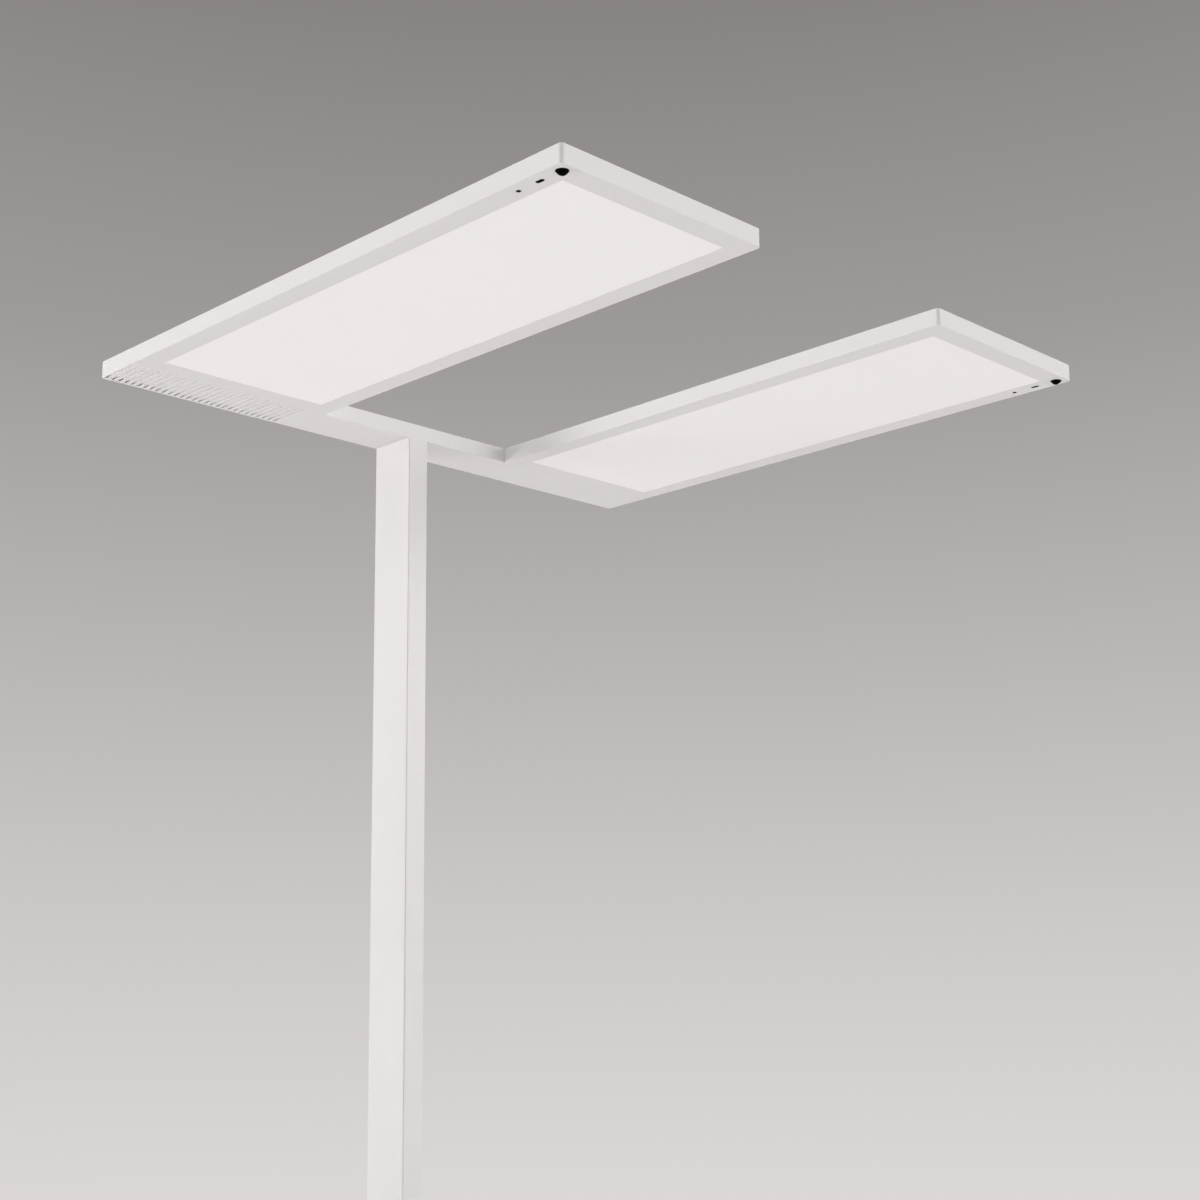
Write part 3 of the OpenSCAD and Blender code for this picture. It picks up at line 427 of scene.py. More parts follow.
def make_materials():
    """Material of each slot in the record."""
    white = (0.745, 0.719, 0.713)
    opal = (0.950, 0.919, 0.912)
    sheet = {"roughness": 0.42, "variation": 0.002, "grain": 0.004 * MM, "grain_scale": 2500.0}
    faint_gloss = {"specular_ior_level": 0.0, "coat_weight": 0.05, "coat_roughness": 0.06}
    return {
        "housing_white": moulded("powder_coat_white", white, 0.5, variation=0.004),
        "base_white": moulded("powder_coat_base", white, 0.52, variation=0.012, grain=0.02 * MM),
        "steel": metal("zinc_plate", (0.55, 0.56, 0.58), 0.35, squeeze=(1, 12, 1)),
        "screw_steel": metal("screw_zinc", (0.6, 0.6, 0.62), 0.28, squeeze=(1, 1, 20)),
        "foot_plastic": moulded("foot_rubber", (0.02, 0.02, 0.021), 0.75, variation=0.15,
                                grain=0.04 * MM, grain_scale=900.0),
        "opal_panel": moulded("opal_acrylic", opal, **sheet),
        # A little darker than the panels, because the light from above is stronger
        "uplight_opal": moulded("uplight_acrylic", tinted(opal, 0.92), **sheet),
        "clear_guide": moulded("guide_acrylic", (0.93, 0.96, 0.96), 0.12, variation=0.005,
                               grain=0.002 * MM, transmission_weight=0.9),
        "reflector_white": moulded("reflector_film", (0.9, 0.9, 0.9), 0.6, variation=0.005,
                                   grain=0.003 * MM, grain_scale=3000.0),
        "backing_aluminium": metal("mill_aluminium", (0.8, 0.8, 0.81), 0.32, squeeze=(14, 1, 1)),
        "led_board": board("led_board_white", (0.85, 0.85, 0.83), trace=(0.78, 0.78, 0.75), scale=90.0),
        "green_board": board("sensor_board_green", (0.01, 0.12, 0.05), trace=(0.03, 0.22, 0.09), scale=260.0),
        "sensor_black": moulded("lens_black", (0.001, 0.001, 0.001), 0.12, variation=0.1,
                                grain=0, grain_scale=600.0, **faint_gloss),
        "loom_sleeve": sleeved("loom_sleeve", (0.12, 0.12, 0.125)),
        "bush_plastic": moulded("bush_nylon", (0.022, 0.022, 0.023), 0.5, variation=0.1, grain=0.02 * MM),
        "terminal_plastic": moulded("terminal_nylon", (0.72, 0.69, 0.58), 0.45, variation=0.02),
        "driver_case": moulded("driver_case", (0.93, 0.91, 0.90), 0.5, grain=0.02 * MM),
        "panel_plastic": moulded("panel_plastic", tinted(white, 0.97), 0.45, variation=0.006,
                                 grain=0.02 * MM),
        "button_plastic": moulded("button_plastic", tinted(white, 0.8), 0.4, grain=0.012 * MM),
    }


# ---- Parts that several pieces share ----

# Insets and heights of a tray's rebate for the lid, its walls and its floor
TRAY_INSIDE = ((LID_REBATE, head_z1), (LID_REBATE, lid_z), (WALL, lid_z), (WALL, floor_z))


def pillar(solid, x, y):
    """Pillar on a tray's floor, with the blind hole of a lid screw."""
    bottom = lid_z - LID_SCREW_DEPTH
    rings = [(PILLAR_R, floor_z), (PILLAR_R, lid_z), (LID_SCREW_R, lid_z), (LID_SCREW_R, bottom), (0, bottom)]
    solid.turned(rings, (x, y))


def hole(solid, shape, start, end, lips=(0.0, 0.0), place=upwards):
    """Hole whose lips have two radii, for its start and its end. shape(growth) gives its outline."""
    solid.tube(edged(shape, start, end, *lips), place)


def round_hole(solid, centre, radius, start, end, lips=(0.0, 0.0), place=upwards):
    hole(solid, lambda growth: circle(centre, radius + growth), start, end, lips, place)


def socket_screw(solid, centre, profile, across, depth):
    """Screw with a hexagon socket in the face where its profile of (radius, height) starts."""
    face_r, face_z = profile[0]
    end_z = profile[-1][1]
    socket = hexagon(centre, across)
    bottom = face_z + math.copysign(depth, end_z - face_z)
    solid.tube([(socket, bottom), (socket, face_z)], caps=(True, False))
    solid.tube([(socket, face_z), (circle(centre, face_r), face_z)])
    solid.turned(profile + [(0, end_z)], centre)


# ---- Sensors at the front outer corner of the left arm ----

FLANGE_W = 1.5 * MM
SENSOR_GAP = 0.15 * MM

dome_lo, dome_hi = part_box("sensor_dome_left")
light_lo, light_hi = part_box("light_window_left")
status_lo, status_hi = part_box("status_window_left")
dome_centre = (dome_lo + dome_hi) / 2
status_centre = (status_lo + status_hi) / 2
dome_r = (dome_hi.x - dome_lo.x) / 2 - FLANGE_W
status_r = (status_hi.x - status_lo.x) / 2 - FLANGE_W
light_w = light_hi.x - light_lo.x - 2 * FLANGE_W


def light_outline(growth):
    """Stadium of the light-sensor window."""
    lo, hi = drawn_in(light_lo, light_hi, FLANGE_W)
    return rectangle(lo, hi, light_w / 2, -growth)


def lens(lo, hi, radius, lip):
    """Profile of a round lens, from the tip of its cap under the head to its flange on the tray's floor."""
    drop = head_z0 - lo.z
    cap_r = radius - lip
    sphere_r = (cap_r ** 2 + drop ** 2) / (2 * drop)
    reach = math.degrees(math.asin(cap_r / sphere_r))
    cap = arc((0, lo.z + sphere_r), sphere_r, -90, reach, LENS_STEPS)
    flange_r = radius + FLANGE_W
    return cap + [(radius, head_z0), (radius, floor_z), (flange_r, floor_z), (flange_r, hi.z)]


def sensor_dome(side):
    """Lens of the presence sensor: a shallow dome with a small step round it, hollow behind."""
    inner = dome_r - FLANGE_W
    profile = lens(dome_lo, dome_hi, dome_r, LIP) + [(inner, dome_hi.z), (inner, head_z0), (0, head_z0)]
    solid = Solid()
    solid.turned(profile, dome_centre)
    solid.stand_for_side("sensor_dome", side)


def status_window(side):
    """Indicator window: a small round lens."""
    solid = Solid()
    solid.turned(lens(status_lo, status_hi, status_r, FINE_EDGE / 2) + [(0, status_hi.z)], status_centre)
    solid.stand_for_side("status_window", side)


def light_window(side):
    """Flush window of the light sensor, with a flange on the tray's floor."""
    flange = light_outline(FLANGE_W)
    rings = edged(lambda inset: light_outline(-inset), light_lo.z, floor_z, FINE_EDGE)
    solid = Solid()
    solid.tube(rings + [(flange, floor_z), (flange, light_hi.z)], caps=(True, True))
    solid.stand_for_side("light_window", side)


# ---- Arms, drawn for the left side ----

panel_lo, panel_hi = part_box("panel_left")
win_lo, win_hi = drawn_in(panel_lo, panel_hi, PANEL_LAP)
uplight_lo, uplight_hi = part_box("uplight_cover_left")
up_win_lo, up_win_hi = drawn_in(uplight_lo, uplight_hi, UPLIGHT_LAP)

JOINT_SCREWS = 4
JOINT_SCREW_R = 2.5 * MM
JOINT_SCREW_IN = 4 * JOINT_SCREW_R
bar_lo, bar_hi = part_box("joint_bar_left")
joint_z = (bar_lo.z + bar_hi.z) / 2
joint_first = bar_lo.x + JOINT_SCREW_IN
joint_pitch = (bar_hi.x - bar_lo.x - 2 * JOINT_SCREW_IN) / (JOINT_SCREWS - 1)

LOOM_R = 2.5 * MM
LOOM_HOLE_R = 3.5 * MM
loom_lo, loom_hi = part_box("arm_loom_left")
loom_x = loom_lo.x + LOOM_R
loom_z = (loom_lo.z + loom_hi.z) / 2

board_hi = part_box("sensor_board_left")[1]
pillar_front = board_hi.y + 2 * PILLAR_R
pillar_back = (bar_lo.y + panel_hi.y) / 2
arm_pillars = [
    (x, y) for x in (arm_lo.x + PILLAR_IN, arm_hi.x - PILLAR_IN)
    for y in (pillar_front, (pillar_front + pillar_back) / 2, pillar_back)
]


def arm_outline(inset, back=0.0):
    """Outline of an arm, with round corners at its front."""
    return rectangle(arm_lo, arm_hi, (CORNER_R, CORNER_R, 0, 0), inset, back)


def wall_holes(solid, sign, y0, y1):
    """Holes of the joint screws and the loom in a wall where an arm meets the crossbar. sign is 1 for the
    left arm and -1 for the right one."""
    for i in range(JOINT_SCREWS):
        centre = (sign * (joint_first + i * joint_pitch), joint_z)
        round_hole(solid, centre, JOINT_SCREW_R + SCREW_GAP, y0, y1, place=backwards)
    round_hole(solid, (sign * loom_x, loom_z), LOOM_HOLE_R, y0, y1, place=backwards)


def arm_frame(side):
    """Tray of an arm: underside with the window and the sensors' holes, walls, and the lid's rebate."""
    solid = Solid()
    rings = edged(arm_outline, head_z0, head_z1, EDGE, FINE_EDGE)
    solid.tube(rings + [(arm_outline(inset, inset), height) for inset, height in TRAY_INSIDE])
    lips = (FINE_EDGE, 0)
    hole(solid, lambda growth: rectangle(win_lo, win_hi, 0, -growth), head_z0, floor_z, lips)
    round_hole(solid, dome_centre, dome_r + SENSOR_GAP, head_z0, floor_z, lips)
    round_hole(solid, status_centre, status_r + SENSOR_GAP, head_z0, floor_z, lips)
    hole(solid, lambda growth: light_outline(SENSOR_GAP + growth), head_z0, floor_z, lips)
    for x, y in arm_pillars:
        pillar(solid, x, y)
    solid.fill(Z, head_z0, floor_z)
    solid.clear(Y, arm_hi.y, arm_hi.y - WALL)
    wall_holes(solid, 1, arm_hi.y - WALL, arm_hi.y)
    solid.fill(Y, arm_hi.y, arm_hi.y - WALL)
    solid.stand_for_side("arm_frame", side)


def light_panel(side):
    """Opal panel: its face fills the window, and its edge lies on the tray's floor."""
    def face(inset):
        return rectangle(win_lo, win_hi, 0, inset + PANEL_GAP)

    edge = rectangle(panel_lo, panel_hi, 0)
    rings = edged(face, panel_lo.z, floor_z, FINE_EDGE) + [(edge, floor_z), (edge, panel_hi.z)]
    solid = Solid()
    solid.tube(rings, caps=(True, True))
    solid.stand_for_side("panel", side)


def countersunk_hole(solid, x, y):
    """Hole of a lid screw, whose cone runs through the whole lid."""
    wide = LID_SCREW_R + head_z1 - lid_z
    solid.tube([(circle((x, y), LID_SCREW_R), lid_z), (circle((x, y), wide), head_z1)])


def arm_lid(side):
    """Lid of an arm, with the uplight's window."""
    solid = Solid()
    solid.tube(edged(lambda inset: arm_outline(inset + LID_EDGE, inset + LID_EDGE), lid_z, head_z1, 0, LIP))
    hole(solid, lambda growth: rectangle(up_win_lo, up_win_hi, 0, -growth), lid_z, head_z1, (0, LIP))
    for x, y in arm_pillars:
        countersunk_hole(solid, x, y)
    solid.fill(Z, lid_z, head_z1)
    solid.stand_for_side("arm_lid", side)


def uplight_cover(side):
    """Cover of the uplight: its face fills the lid's window, and its edge lies under the lid."""
    def face(inset):
        return rectangle(up_win_lo, up_win_hi, 0, inset + LID_GAP)

    edge = rectangle(uplight_lo, uplight_hi, 0)
    rings = [(edge, uplight_lo.z), (edge, lid_z)] + edged(face, lid_z, head_z1, 0, LIP)
    solid = Solid()
    solid.tube(rings, caps=(True, True))
    solid.stand_for_side("uplight_cover", side)


# ---- Crossbar ----

VENT_COUNT = 29
VENT_PITCH = 10 * MM
VENT_W = 4 * MM
VENT_FROM_SIDE = 5 * MM
VENT_MARGIN = 4 * MM
CABLE_WAY_R = 6 * MM
LOWER_EDGE_H = 2 * EDGE

pillar_x = cross_lo.x + VENT_FROM_SIDE + (VENT_COUNT - 1) * VENT_PITCH + VENT_W / 2 + 2 * PILLAR_R
pillar_y = (cross_lo.y + PILLAR_IN, cross_hi.y - PILLAR_IN)
cross_pillars = [(x, y) for x in (pillar_x, -pillar_x) for y in pillar_y]
cross_pillars.append((cross_hi.x - PILLAR_IN, pillar_y[1]))


def crossbar_outline(inset, at_arms=0.0, at_post=0.0):
    """Outline of the crossbar, drawn in by an inset. at_arms and at_post are its insets where they join."""
    x0, x1 = cross_lo.x + inset, cross_hi.x - inset
    arm_x = -arm_hi.x + inset
    seat_x = post_hi.x - POST_R
    front, back = cross_lo.y + inset, cross_hi.y - inset
    joint_y = cross_lo.y + at_arms
    seat_front, seat_back = cross_lo.y + at_post, cross_hi.y - at_post
    radius = CORNER_R - inset
    points = [(x0, joint_y), (-arm_x, joint_y), (-arm_x, front)]
    points += [(-seat_x, front), (-seat_x, seat_front), (seat_x, seat_front), (seat_x, front)]
    points += [(arm_x, front), (arm_x, joint_y), (x1, joint_y)]
    points += corner((x1, back), (-1, -1), radius, 0)
    points += [(seat_x, back), (seat_x, seat_back), (-seat_x, seat_back), (-seat_x, back)]
    points += corner((x0, back), (1, -1), radius, 90)
    return points


def vent_outline(i, growth):
    """Stadium of a ventilation slot, counted from the left."""
    x = cross_lo.x + VENT_FROM_SIDE + i * VENT_PITCH
    lo = (x - VENT_W / 2, cross_lo.y + VENT_MARGIN)
    hi = (x + VENT_W / 2, cross_hi.y - VENT_MARGIN)
    return rectangle(lo, hi, VENT_W / 2, -growth)


def crossbar_frame():
    """Tray of the crossbar, with the ventilation slots under its left part."""
    solid = Solid()
    middle_z = head_z0 + LOWER_EDGE_H
    rings = edged(crossbar_outline, head_z0, middle_z, EDGE)
    rings += edged(lambda inset: crossbar_outline(inset, 0, inset), middle_z, head_z1, 0, FINE_EDGE)
    solid.tube(rings + [(crossbar_outline(inset, inset, inset), height) for inset, height in TRAY_INSIDE])
    for i in range(VENT_COUNT):
        hole(solid, lambda growth: vent_outline(i, growth), head_z0, floor_z, (LIP, 0))
    for centre in post_screws:
        round_hole(solid, centre, POST_SCREW_R + SCREW_GAP, head_z0, floor_z)
    round_hole(solid, (0, post_y), CABLE_WAY_R, head_z0, floor_z)
    for x, y in cross_pillars:
        pillar(solid, x, y)
    solid.fill(Z, head_z0, floor_z)
    solid.clear(Y, cross_lo.y, cross_lo.y + WALL)
    for sign in (1, -1):
        wall_holes(solid, sign, cross_lo.y, cross_lo.y + WALL)
    solid.fill(Y, cross_lo.y, cross_lo.y + WALL)
    solid.stand_for("crossbar_frame")


def crossbar_lid():
    """Lid of the crossbar."""
    def shape(inset):
        return crossbar_outline(inset + LID_EDGE, inset + LID_EDGE, inset + LID_EDGE)

    solid = Solid()
    solid.tube(edged(shape, lid_z, head_z1, 0, LIP))
    for x, y in cross_pillars:
        countersunk_hole(solid, x, y)
    solid.fill(Z, lid_z, head_z1)
    solid.stand_for("crossbar_lid")


# ---- Screws of the lids ----

LID_SOCKET_W = 2 * MM
LID_SOCKET_T = 1 * MM
LID_SCREW_END_GAP = 1 * MM


def lid_screws():
    """Countersunk screws, flush with the lids."""
    shank_r = LID_SCREW_R - SCREW_GAP
    head_r = shank_r + head_z1 - lid_z
    end = lid_z - LID_SCREW_DEPTH + LID_SCREW_END_GAP
    profile = [(head_r - FINE_EDGE, head_z1), (head_r, head_z1 - FINE_EDGE / 2)]
    profile += [(shank_r, lid_z), (shank_r, end + LIP), (shank_r - LIP, end)]
    solid = Solid()
    for centre in [(sign * x, y) for x, y in arm_pillars for sign in (1, -1)] + cross_pillars:
        socket_screw(solid, centre, profile, LID_SOCKET_W, LID_SOCKET_T)
    solid.stand_for("lid_screws")


# ---- Post ----

# Cable bush
BUSH_BORE_R = 4 * MM
BUSH_BARREL_R = 7 * MM
BUSH_RIM_T = 1.5 * MM
BUSH_RIM_EDGE = 0.6 * MM
BUSH_LIP = 1 * MM
bush_lo, bush_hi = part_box("cable_bush")
bush_centre = (0, (bush_lo.z + bush_hi.z) / 2)
bush_rim_r = (bush_hi.x - bush_lo.x) / 2

# Control panel in its cut-out
CP_RIM = 3 * MM
CP_FACE_T = 1.2 * MM
CP_CORNER_R = 3 * MM
CP_PILLAR_R = 2.5 * MM
CUT_R = 0.5 * MM
cp_lo, cp_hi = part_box("control_panel")
cut_lo, cut_hi = drawn_in(cp_lo.yz, cp_hi.yz, CP_RIM)

# Push buttons and the bars of their marks
BUTTON_R = 7 * MM
BUTTON_COLLAR = 1.5 * MM
BUTTON_GAP = 0.1 * MM
BUTTON_EDGE = 0.8 * MM
BUTTON_DISH = 0.5 * MM
MARK_RISE = 0.3 * MM
MARK_LENGTH = 5 * MM
MARK_W = 0.9 * MM


def post():
    """Rectangular tube with round upright corners, the cable bush's seat and the control panel's cut-out."""
    outside = rectangle(post_lo, post_hi, POST_R)
    inside = rectangle(*drawn_in(post_lo, post_hi, POST_WALL), CUT_R)
    cut = rectangle(cut_lo, cut_hi, CUT_R)
    inner_x, inner_y = post_hi.x - POST_WALL, post_hi.y - POST_WALL
    seat_r = bush_rim_r + LID_GAP
    barrel_r = BUSH_BARREL_R + LID_GAP
    step = post_hi.y - BUSH_RIM_T
    seat = [(seat_r + FINE_EDGE, post_hi.y), (seat_r, post_hi.y - FINE_EDGE)]
    seat += [(seat_r, step), (barrel_r, step), (barrel_r, inner_y)]
    walls = [(outside, post_lo.z), (outside, post_hi.z), (inside, post_hi.z), (inside, post_lo.z)]
    solid = Solid()
    solid.tube(walls, closed=True)
    solid.clear(Y, post_hi.y, inner_y)
    solid.clear(X, post_hi.x, inner_x)
    solid.turned(seat, bush_centre, backwards)
    solid.tube([(cut, inner_x), (cut, post_hi.x)], rightwards)
    solid.fill(Y, post_hi.y, inner_y)
    solid.fill(X, post_hi.x, inner_x)
    solid.stand_for("post")


def cable_bush():
    """Bush of the mains lead, with a soft lip round its bore."""
    y0, y1 = bush_lo.y, bush_hi.y
    step = y1 - BUSH_RIM_T
    profile = [(BUSH_BORE_R, y0), (BUSH_BORE_R, y1 - BUSH_LIP)]
    profile += arc((BUSH_BORE_R + BUSH_LIP, y1 - BUSH_LIP), BUSH_LIP, 180, -90, EDGE_STEPS)
    profile += arc((bush_rim_r - BUSH_RIM_EDGE, y1 - BUSH_RIM_EDGE), BUSH_RIM_EDGE, 90, -90, EDGE_STEPS)
    profile += [(bush_rim_r, step), (BUSH_BARREL_R, step)]
    profile += [(BUSH_BARREL_R, y0 + LIP), (BUSH_BARREL_R - LIP, y0)]
    solid = Solid()
    solid.tube([(circle(bush_centre, radius), y) for radius, y in profile], backwards, closed=True)
    solid.stand_for("cable_bush")


# ---- Control panel on the post's right-hand side ----

def control_panel(buttons):
    """Face plate with two button holes, a body that fills the cut-out, and pillars for the board. buttons are
    their heights."""
    body_lo, body_hi = drawn_in(cut_lo, cut_hi, LID_GAP)
    body = rectangle(body_lo, body_hi, CUT_R)
    face_x = cp_hi.x - CP_FACE_T
    body_x = face_x - POST_WALL

    def face(inset):
        return rectangle(cp_lo.yz, cp_hi.yz, CP_CORNER_R, inset)

    solid = Solid()
    solid.tube([(body, body_x), (body, face_x)] + edged(face, face_x, cp_hi.x, 0, EDGE), rightwards)
    for z in buttons:
        round_hole(solid, (post_y, z), BUTTON_R + BUTTON_GAP, body_x, cp_hi.x, (0, LIP), rightwards)
    for z in (body_lo[1] + CP_PILLAR_R, body_hi[1] - CP_PILLAR_R):
        rod = circle((post_y, z), CP_PILLAR_R)
        solid.tube([(rod, body_x), (rod, cp_lo.x)], rightwards, caps=(False, True))
    solid.fill(X, body_x, cp_hi.x)
    solid.stand_for("control_panel")


def mark_bar(solid, centre, size, top):
    """Raised bar on a button's top, with round ends."""
    lo = (centre[0] - size[0] / 2, centre[1] - size[1] / 2)
    hi = (centre[0] + size[0] / 2, centre[1] + size[1] / 2)
    bottom = top - BUTTON_DISH - MARK_RISE
    edge = MARK_RISE / 2

    def outline(inset):
        return rectangle(lo, hi, MARK_W / 2, inset)

    solid.tube(edged(outline, bottom, top - edge, 0, edge), rightwards, caps=(True, True))


def button(node, bars):
    """Push button with a collar behind the panel, a dished top and a raised mark of one or two bars. Returns
    its height."""
    lo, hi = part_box(node)
    centre = (post_y, (lo.z + hi.z) / 2)
    top = hi.x
    collar_r, collar_x = BUTTON_R + BUTTON_COLLAR, lo.x + BUTTON_COLLAR
    dish_r = BUTTON_R - 2 * BUTTON_EDGE
    profile = [(0, lo.x), (collar_r, lo.x), (collar_r, collar_x), (BUTTON_R, collar_x)]
    profile += arc((BUTTON_R - BUTTON_EDGE, top - BUTTON_EDGE), BUTTON_EDGE, 0, 90, EDGE_STEPS)
    for i in range(1, DISH_STEPS + 1):
        share = i / DISH_STEPS
        profile.append((dish_r * (1 - share), top - BUTTON_DISH * math.sin(math.pi / 2 * share) ** 2))
    solid = Solid()
    solid.turned(profile, centre, rightwards)
    for size in ((MARK_LENGTH, MARK_W), (MARK_W, MARK_LENGTH))[:bars]:
        mark_bar(solid, centre, size, top)
    solid.stand_for(node)
    return centre[1]


# ---- Base ----

BASE_R = 20 * MM
BASE_EDGE = 1.5 * MM
BASE_HEAD_R = 4.8 * MM
BASE_HEAD_T = 2.6 * MM
BASE_SOCKET_W = 4 * MM
BASE_SOCKET_T = 1.6 * MM
screw_lo, screw_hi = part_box("base_screws")
base_head_z = screw_lo.z + BASE_HEAD_T

STUD_R = 4 * MM
STUD_GAP = 0.08 * MM
STUD_HOLE = 8 * MM

# Radius of a foot's neck, as a share of its pad's
NECK_SHARE = 0.7


def base_plate(feet):
    """Flat plate with soft top edges, and underneath the sunk holes of the base screws and the feet's holes.
    feet are their centres."""
    recess_r = BASE_HEAD_R + SCREW_GAP
    hole_r = POST_SCREW_R + SCREW_GAP
    recess = [(recess_r + LIP, base_lo.z), (recess_r, base_lo.z + LIP), (recess_r, base_head_z)]
    recess += [(hole_r, base_head_z), (hole_r, base_hi.z)]
    stud_hole_r = STUD_R + STUD_GAP
    stud_hole_z = base_lo.z + STUD_HOLE
    stud_hole = [(stud_hole_r, base_lo.z), (stud_hole_r, stud_hole_z), (0, stud_hole_z)]

    def plate(inset):
        return rectangle(base_lo, base_hi, BASE_R, inset)

    solid = Solid()
    solid.tube(edged(plate, base_lo.z, base_hi.z, EDGE, BASE_EDGE))
    for centre in post_screws:
        solid.turned(recess, centre)
    for centre in feet:
        solid.turned(stud_hole, centre)
    solid.fill(Z, base_lo.z, base_hi.z)
    solid.stand_for("base_plate")


def base_screws():
    """Screws from under the base plate into the post's foot block."""
    shank_r = POST_SCREW_R - SCREW_GAP / 2
    profile = [(BASE_HEAD_R - LIP, screw_lo.z), (BASE_HEAD_R, screw_lo.z + LIP), (BASE_HEAD_R, base_head_z)]
    profile += [(shank_r, base_head_z), (shank_r, screw_hi.z - LIP), (shank_r - LIP, screw_hi.z)]
    solid = Solid()
    for centre in post_screws:
        socket_screw(solid, centre, profile, BASE_SOCKET_W, BASE_SOCKET_T)
    solid.stand_for("base_screws")


def foot(place):
    """Levelling foot: a low cone with a socket, and in it a stud with a hexagon. Returns its centre."""
    pad_lo, pad_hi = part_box(f"foot_pad_{place}")
    stud_lo, stud_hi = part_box(f"foot_stud_{place}")
    centre = ((pad_lo.x + pad_hi.x) / 2, (pad_lo.y + pad_hi.y) / 2)
    pad_r = (pad_hi.x - pad_lo.x) / 2
    mid = (pad_lo.z + pad_hi.z) / 2
    neck_r = pad_r * NECK_SHARE
    socket_r = STUD_R + STUD_GAP
    socket_z = stud_lo.z - STUD_GAP
    profile = [(0, pad_lo.z), (pad_r - EDGE, pad_lo.z), (pad_r, pad_lo.z + EDGE), (pad_r, mid - EDGE / 2)]
    profile += [(pad_r - EDGE / 2, mid), (neck_r + EDGE, pad_hi.z - LIP), (neck_r, pad_hi.z)]
    profile += [(socket_r, pad_hi.z), (socket_r, socket_z), (0, socket_z)]
    pad = Solid()
    pad.turned(profile, centre)
    pad.stand_for(f"foot_pad_{place}")

    across = min(stud_hi.x - stud_lo.x, stud_hi.y - stud_lo.y)
    thread, tip = circle(centre, STUD_R), circle(centre, STUD_R - LIP)
    flats_z = pad_hi.z + STUD_GAP
    rings = [(tip, stud_lo.z), (thread, stud_lo.z + LIP), (thread, flats_z)]
    rings += edged(lambda inset: hexagon(centre, across - 2 * inset), flats_z, base_lo.z, LIP, LIP)
    rings += [(thread, base_lo.z), (thread, stud_hi.z - LIP), (tip, stud_hi.z)]
    stud = Solid()
    stud.tube(rings, caps=(True, True))
    stud.stand_for(f"foot_stud_{place}")
    return centre


# ---- Studio ----

ROOM_R = 6.0
ROOM_H = 9.0
ROOM_STEPS = 128
FLOOR_RIM = 0.01
FLOOR_FADE = (2.2, ROOM_R - 0.2)
FLOOR_CLOUD_SCALE = 1.5
FLOOR_DARK = (0.780, 0.771, 0.767)
FLOOR_PALE = (0.800, 0.791, 0.787)

# Heights of the backdrop, and its display levels there
BACKDROP = ((0.30, 0.859), (1.45, 0.802), (2.60, 0.729), (4.15, 0.622), (5.95, 0.533))

# How far red, green and blue lie below a display level, and the constants of the sRGB curve
WARMTH = (0, 0.016, 0.020)
SRGB_OFFSET = 0.055
SRGB_GAMMA = 2.4

# The softbox behind on the left, in metres, watts and degrees
SOFTBOX = {
    "place": (-4.2, 3.4, 0.9),
    "target": (0, 0, 2.2),
    "size": (2.4, 1.2),
    "strength": 11.5,
    "spread": 60,
}

# Each distant light's name, the direction that it comes from, its strength and its spread in degrees
DISTANT_LIGHTS = (
    ("light_left", (-1, 0.9, -0.12), 1.05, 45),
    ("light_right_front", (1, -1.1, 0.02), 1.92, 50),
    ("light_above", (-0.4, 0, 2), 2.15, 45),
)
SKY_STRENGTH = 0.3

# The photograph's camera: place in metres, angles in degrees, sensor and focal length in millimetres, and
# shift in widths of the frame
CAMERA_PLACE = (-1.7536, -1.7554, 1.0543)
CAMERA_TURN = 45.150
CAMERA_TILT = 11.533
CAMERA_ROLL = -0.681
SENSOR_WIDTH = 36
FOCAL_LENGTH = 55.855
LENS_SHIFT = 0.03


def warm_grey(level):
    """Linear colour of a display level from 0 to 1, with a little less green and blue than red."""
    return tuple(((level - less + SRGB_OFFSET) / (1 + SRGB_OFFSET)) ** SRGB_GAMMA for less in WARMTH)


def shown_only(shader, emission, other):
    """Emission for the camera, reflections and what is seen through clear parts, and another shader for the
    light's own paths."""
    path = shader.add("LightPath").outputs
    seen = path["Is Camera Ray"]
    for kind in ("Is Glossy Ray", "Is Transmission Ray"):
        seen = shader.add("Math", {0: seen, 1: path[kind]}, operation="MAXIMUM").outputs[0]
    return shader.add("MixShader", {0: seen, 1: other, 2: emission}).outputs[0]


def backdrop_material():
    """Grey that darkens with height, and lets the studio's light through."""
    shader = Shader("backdrop")
    height = shader.add("SeparateXYZ", {0: shader.add("NewGeometry").outputs["Position"]}).outputs["Z"]
    share = shader.add("Math", {0: height, 1: ROOM_H}, operation="DIVIDE").outputs[0]
    colour = shader.ramp(share, [(z / ROOM_H, warm_grey(level)) for z, level in BACKDROP])
    emission = shader.add("Emission", {"Color": colour}).outputs[0]
    clear = shader.add("BsdfTransparent").outputs[0]
    shader.add("OutputMaterial", {"Surface": shown_only(shader, emission, clear)})
    return shader.material


def floor_material():
    """Pale floor that takes the backdrop's colour towards the wall."""
    shader = Shader("floor")
    position = shader.add("NewGeometry").outputs["Position"]
    reach = shader.add("VectorMath", {0: position}, operation="LENGTH").outputs["Value"]
    inputs = {"Value": reach, "From Min": FLOOR_FADE[0], "From Max": FLOOR_FADE[1]}
    far = shader.add("MapRange", inputs, interpolation_type="SMOOTHSTEP").outputs["Result"]
    cloud = shader.noise(shader.place(), FLOOR_CLOUD_SCALE, detail=4.0)
    colour = shader.fade(cloud, NOISE_REACH, FLOOR_DARK, FLOOR_PALE)
    matt = shader.add("BsdfDiffuse", {"Color": colour}).outputs[0]
    emission = shader.add("Emission", {"Color": (*warm_grey(BACKDROP[0][1]), 1)}).outputs[0]
    seen = shown_only(shader, emission, matt)
    mixed = shader.add("MixShader", {0: far, 1: matt, 2: seen}).outputs[0]
    shader.add("OutputMaterial", {"Surface": mixed})
    return shader.material


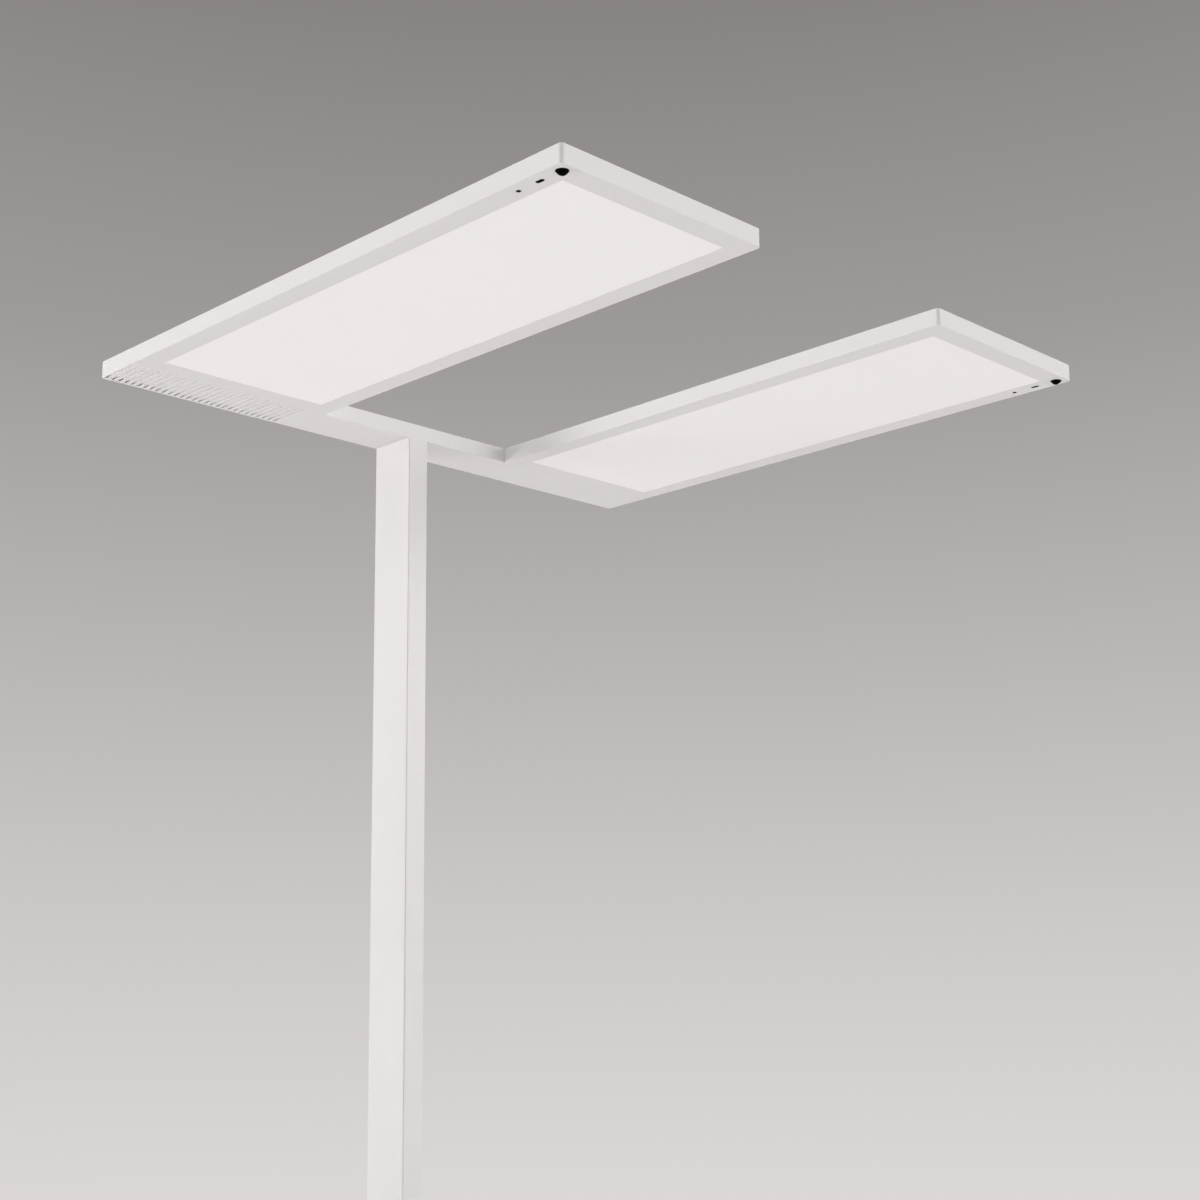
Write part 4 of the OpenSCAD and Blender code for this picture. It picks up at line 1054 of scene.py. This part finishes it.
def stage_piece(name, rings, material, caps):
    """Piece of the studio, which isn't part of the lamp."""
    solid = Solid()
    solid.tube(rings, caps=caps)
    piece = solid.shown_as(name, material)


def aimed(light, direction):
    """Puts a light into the scene so that it shines in a direction, and returns what holds it."""
    holder = bpy.data.objects.new(light.name, light)
    holder.rotation_euler = direction.to_track_quat("-Z", "Y").to_euler()
    link(holder)
    return holder


def softbox(name, place, target, size, strength, spread):
    """Large soft light with a grid, which keeps its beam within a spread in degrees."""
    light = bpy.data.lights.new(name, "AREA")
    light.shape = "RECTANGLE"
    light.size, light.size_y = size
    light.energy = strength
    light.spread = math.radians(spread)
    holder = aimed(light, Vector(target) - Vector(place))
    holder.location = place
    holder.visible_camera = False


def distant_light(name, origin, strength, spread):
    """Even light from one direction, as soft as its spread in degrees."""
    light = bpy.data.lights.new(name, "SUN")
    light.energy = strength
    light.angle = math.radians(spread)
    aimed(light, -Vector(origin))


def studio():
    """Floor and round backdrop, soft light from both sides and from above, and an even sky."""
    around = circle((0, 0), ROOM_R, ROOM_STEPS)
    inner = circle((0, 0), ROOM_R - FLOOR_RIM, ROOM_STEPS)
    stage_piece("floor", [(around, 0), (inner, 0)], floor_material(), (False, True))
    stage_piece("backdrop", [(around, 0), (around, ROOM_H)], backdrop_material(), (False, False))
    softbox("light_left_back", **SOFTBOX)
    for light in DISTANT_LIGHTS:
        distant_light(*light)
    world = bpy.data.worlds.new("even_sky")
    world.use_nodes = True
    sky = world.node_tree.nodes["Background"].inputs
    sky["Color"].default_value = (1, 1, 1, 1)
    sky["Strength"].default_value = SKY_STRENGTH
    bpy.context.scene.world = world
    bpy.context.scene.view_settings.view_transform = "Standard"


def photo_camera():
    """Camera at the photograph's place: from the front left, below the head, looking slightly up."""
    camera = bpy.data.cameras.new("photo_camera")
    camera.sensor_width = SENSOR_WIDTH
    camera.lens = FOCAL_LENGTH
    camera.shift_y = LENS_SHIFT
    turn, tilt, roll = (math.radians(angle) for angle in (CAMERA_TURN, CAMERA_TILT, CAMERA_ROLL))
    ahead = Vector((math.sin(turn) * math.cos(tilt), math.cos(turn) * math.cos(tilt), math.sin(tilt)))
    right = Vector((math.cos(turn), -math.sin(turn), 0))
    up = right.cross(ahead)
    rolled_right = right * math.cos(roll) + up * math.sin(roll)
    rolled_up = up * math.cos(roll) - right * math.sin(roll)
    axes = Matrix((rolled_right, rolled_up, -ahead)).transposed().to_4x4()
    eye = bpy.data.objects.new("photo_camera", camera)
    eye.matrix_world = Matrix.Translation(CAMERA_PLACE) @ axes
    link(eye)
    bpy.context.scene.camera = eye


# ---- The lamp ----

materials = make_materials()
for node, piece in frame["nodes"].items():
    piece.data.materials.clear()
    piece.data.materials.append(materials[slot_of[node]])

for side in SIDES:
    arm_frame(side)
    light_panel(side)
    arm_lid(side)
    uplight_cover(side)
    sensor_dome(side)
    light_window(side)
    status_window(side)
crossbar_frame()
crossbar_lid()
lid_screws()
post()
cable_bush()
control_panel([button("button_upper", bars=2), button("button_lower", bars=1)])
base_plate([foot(f"{end}_{side}") for end in ("front", "back") for side in SIDES])
base_screws()

studio()
photo_camera()
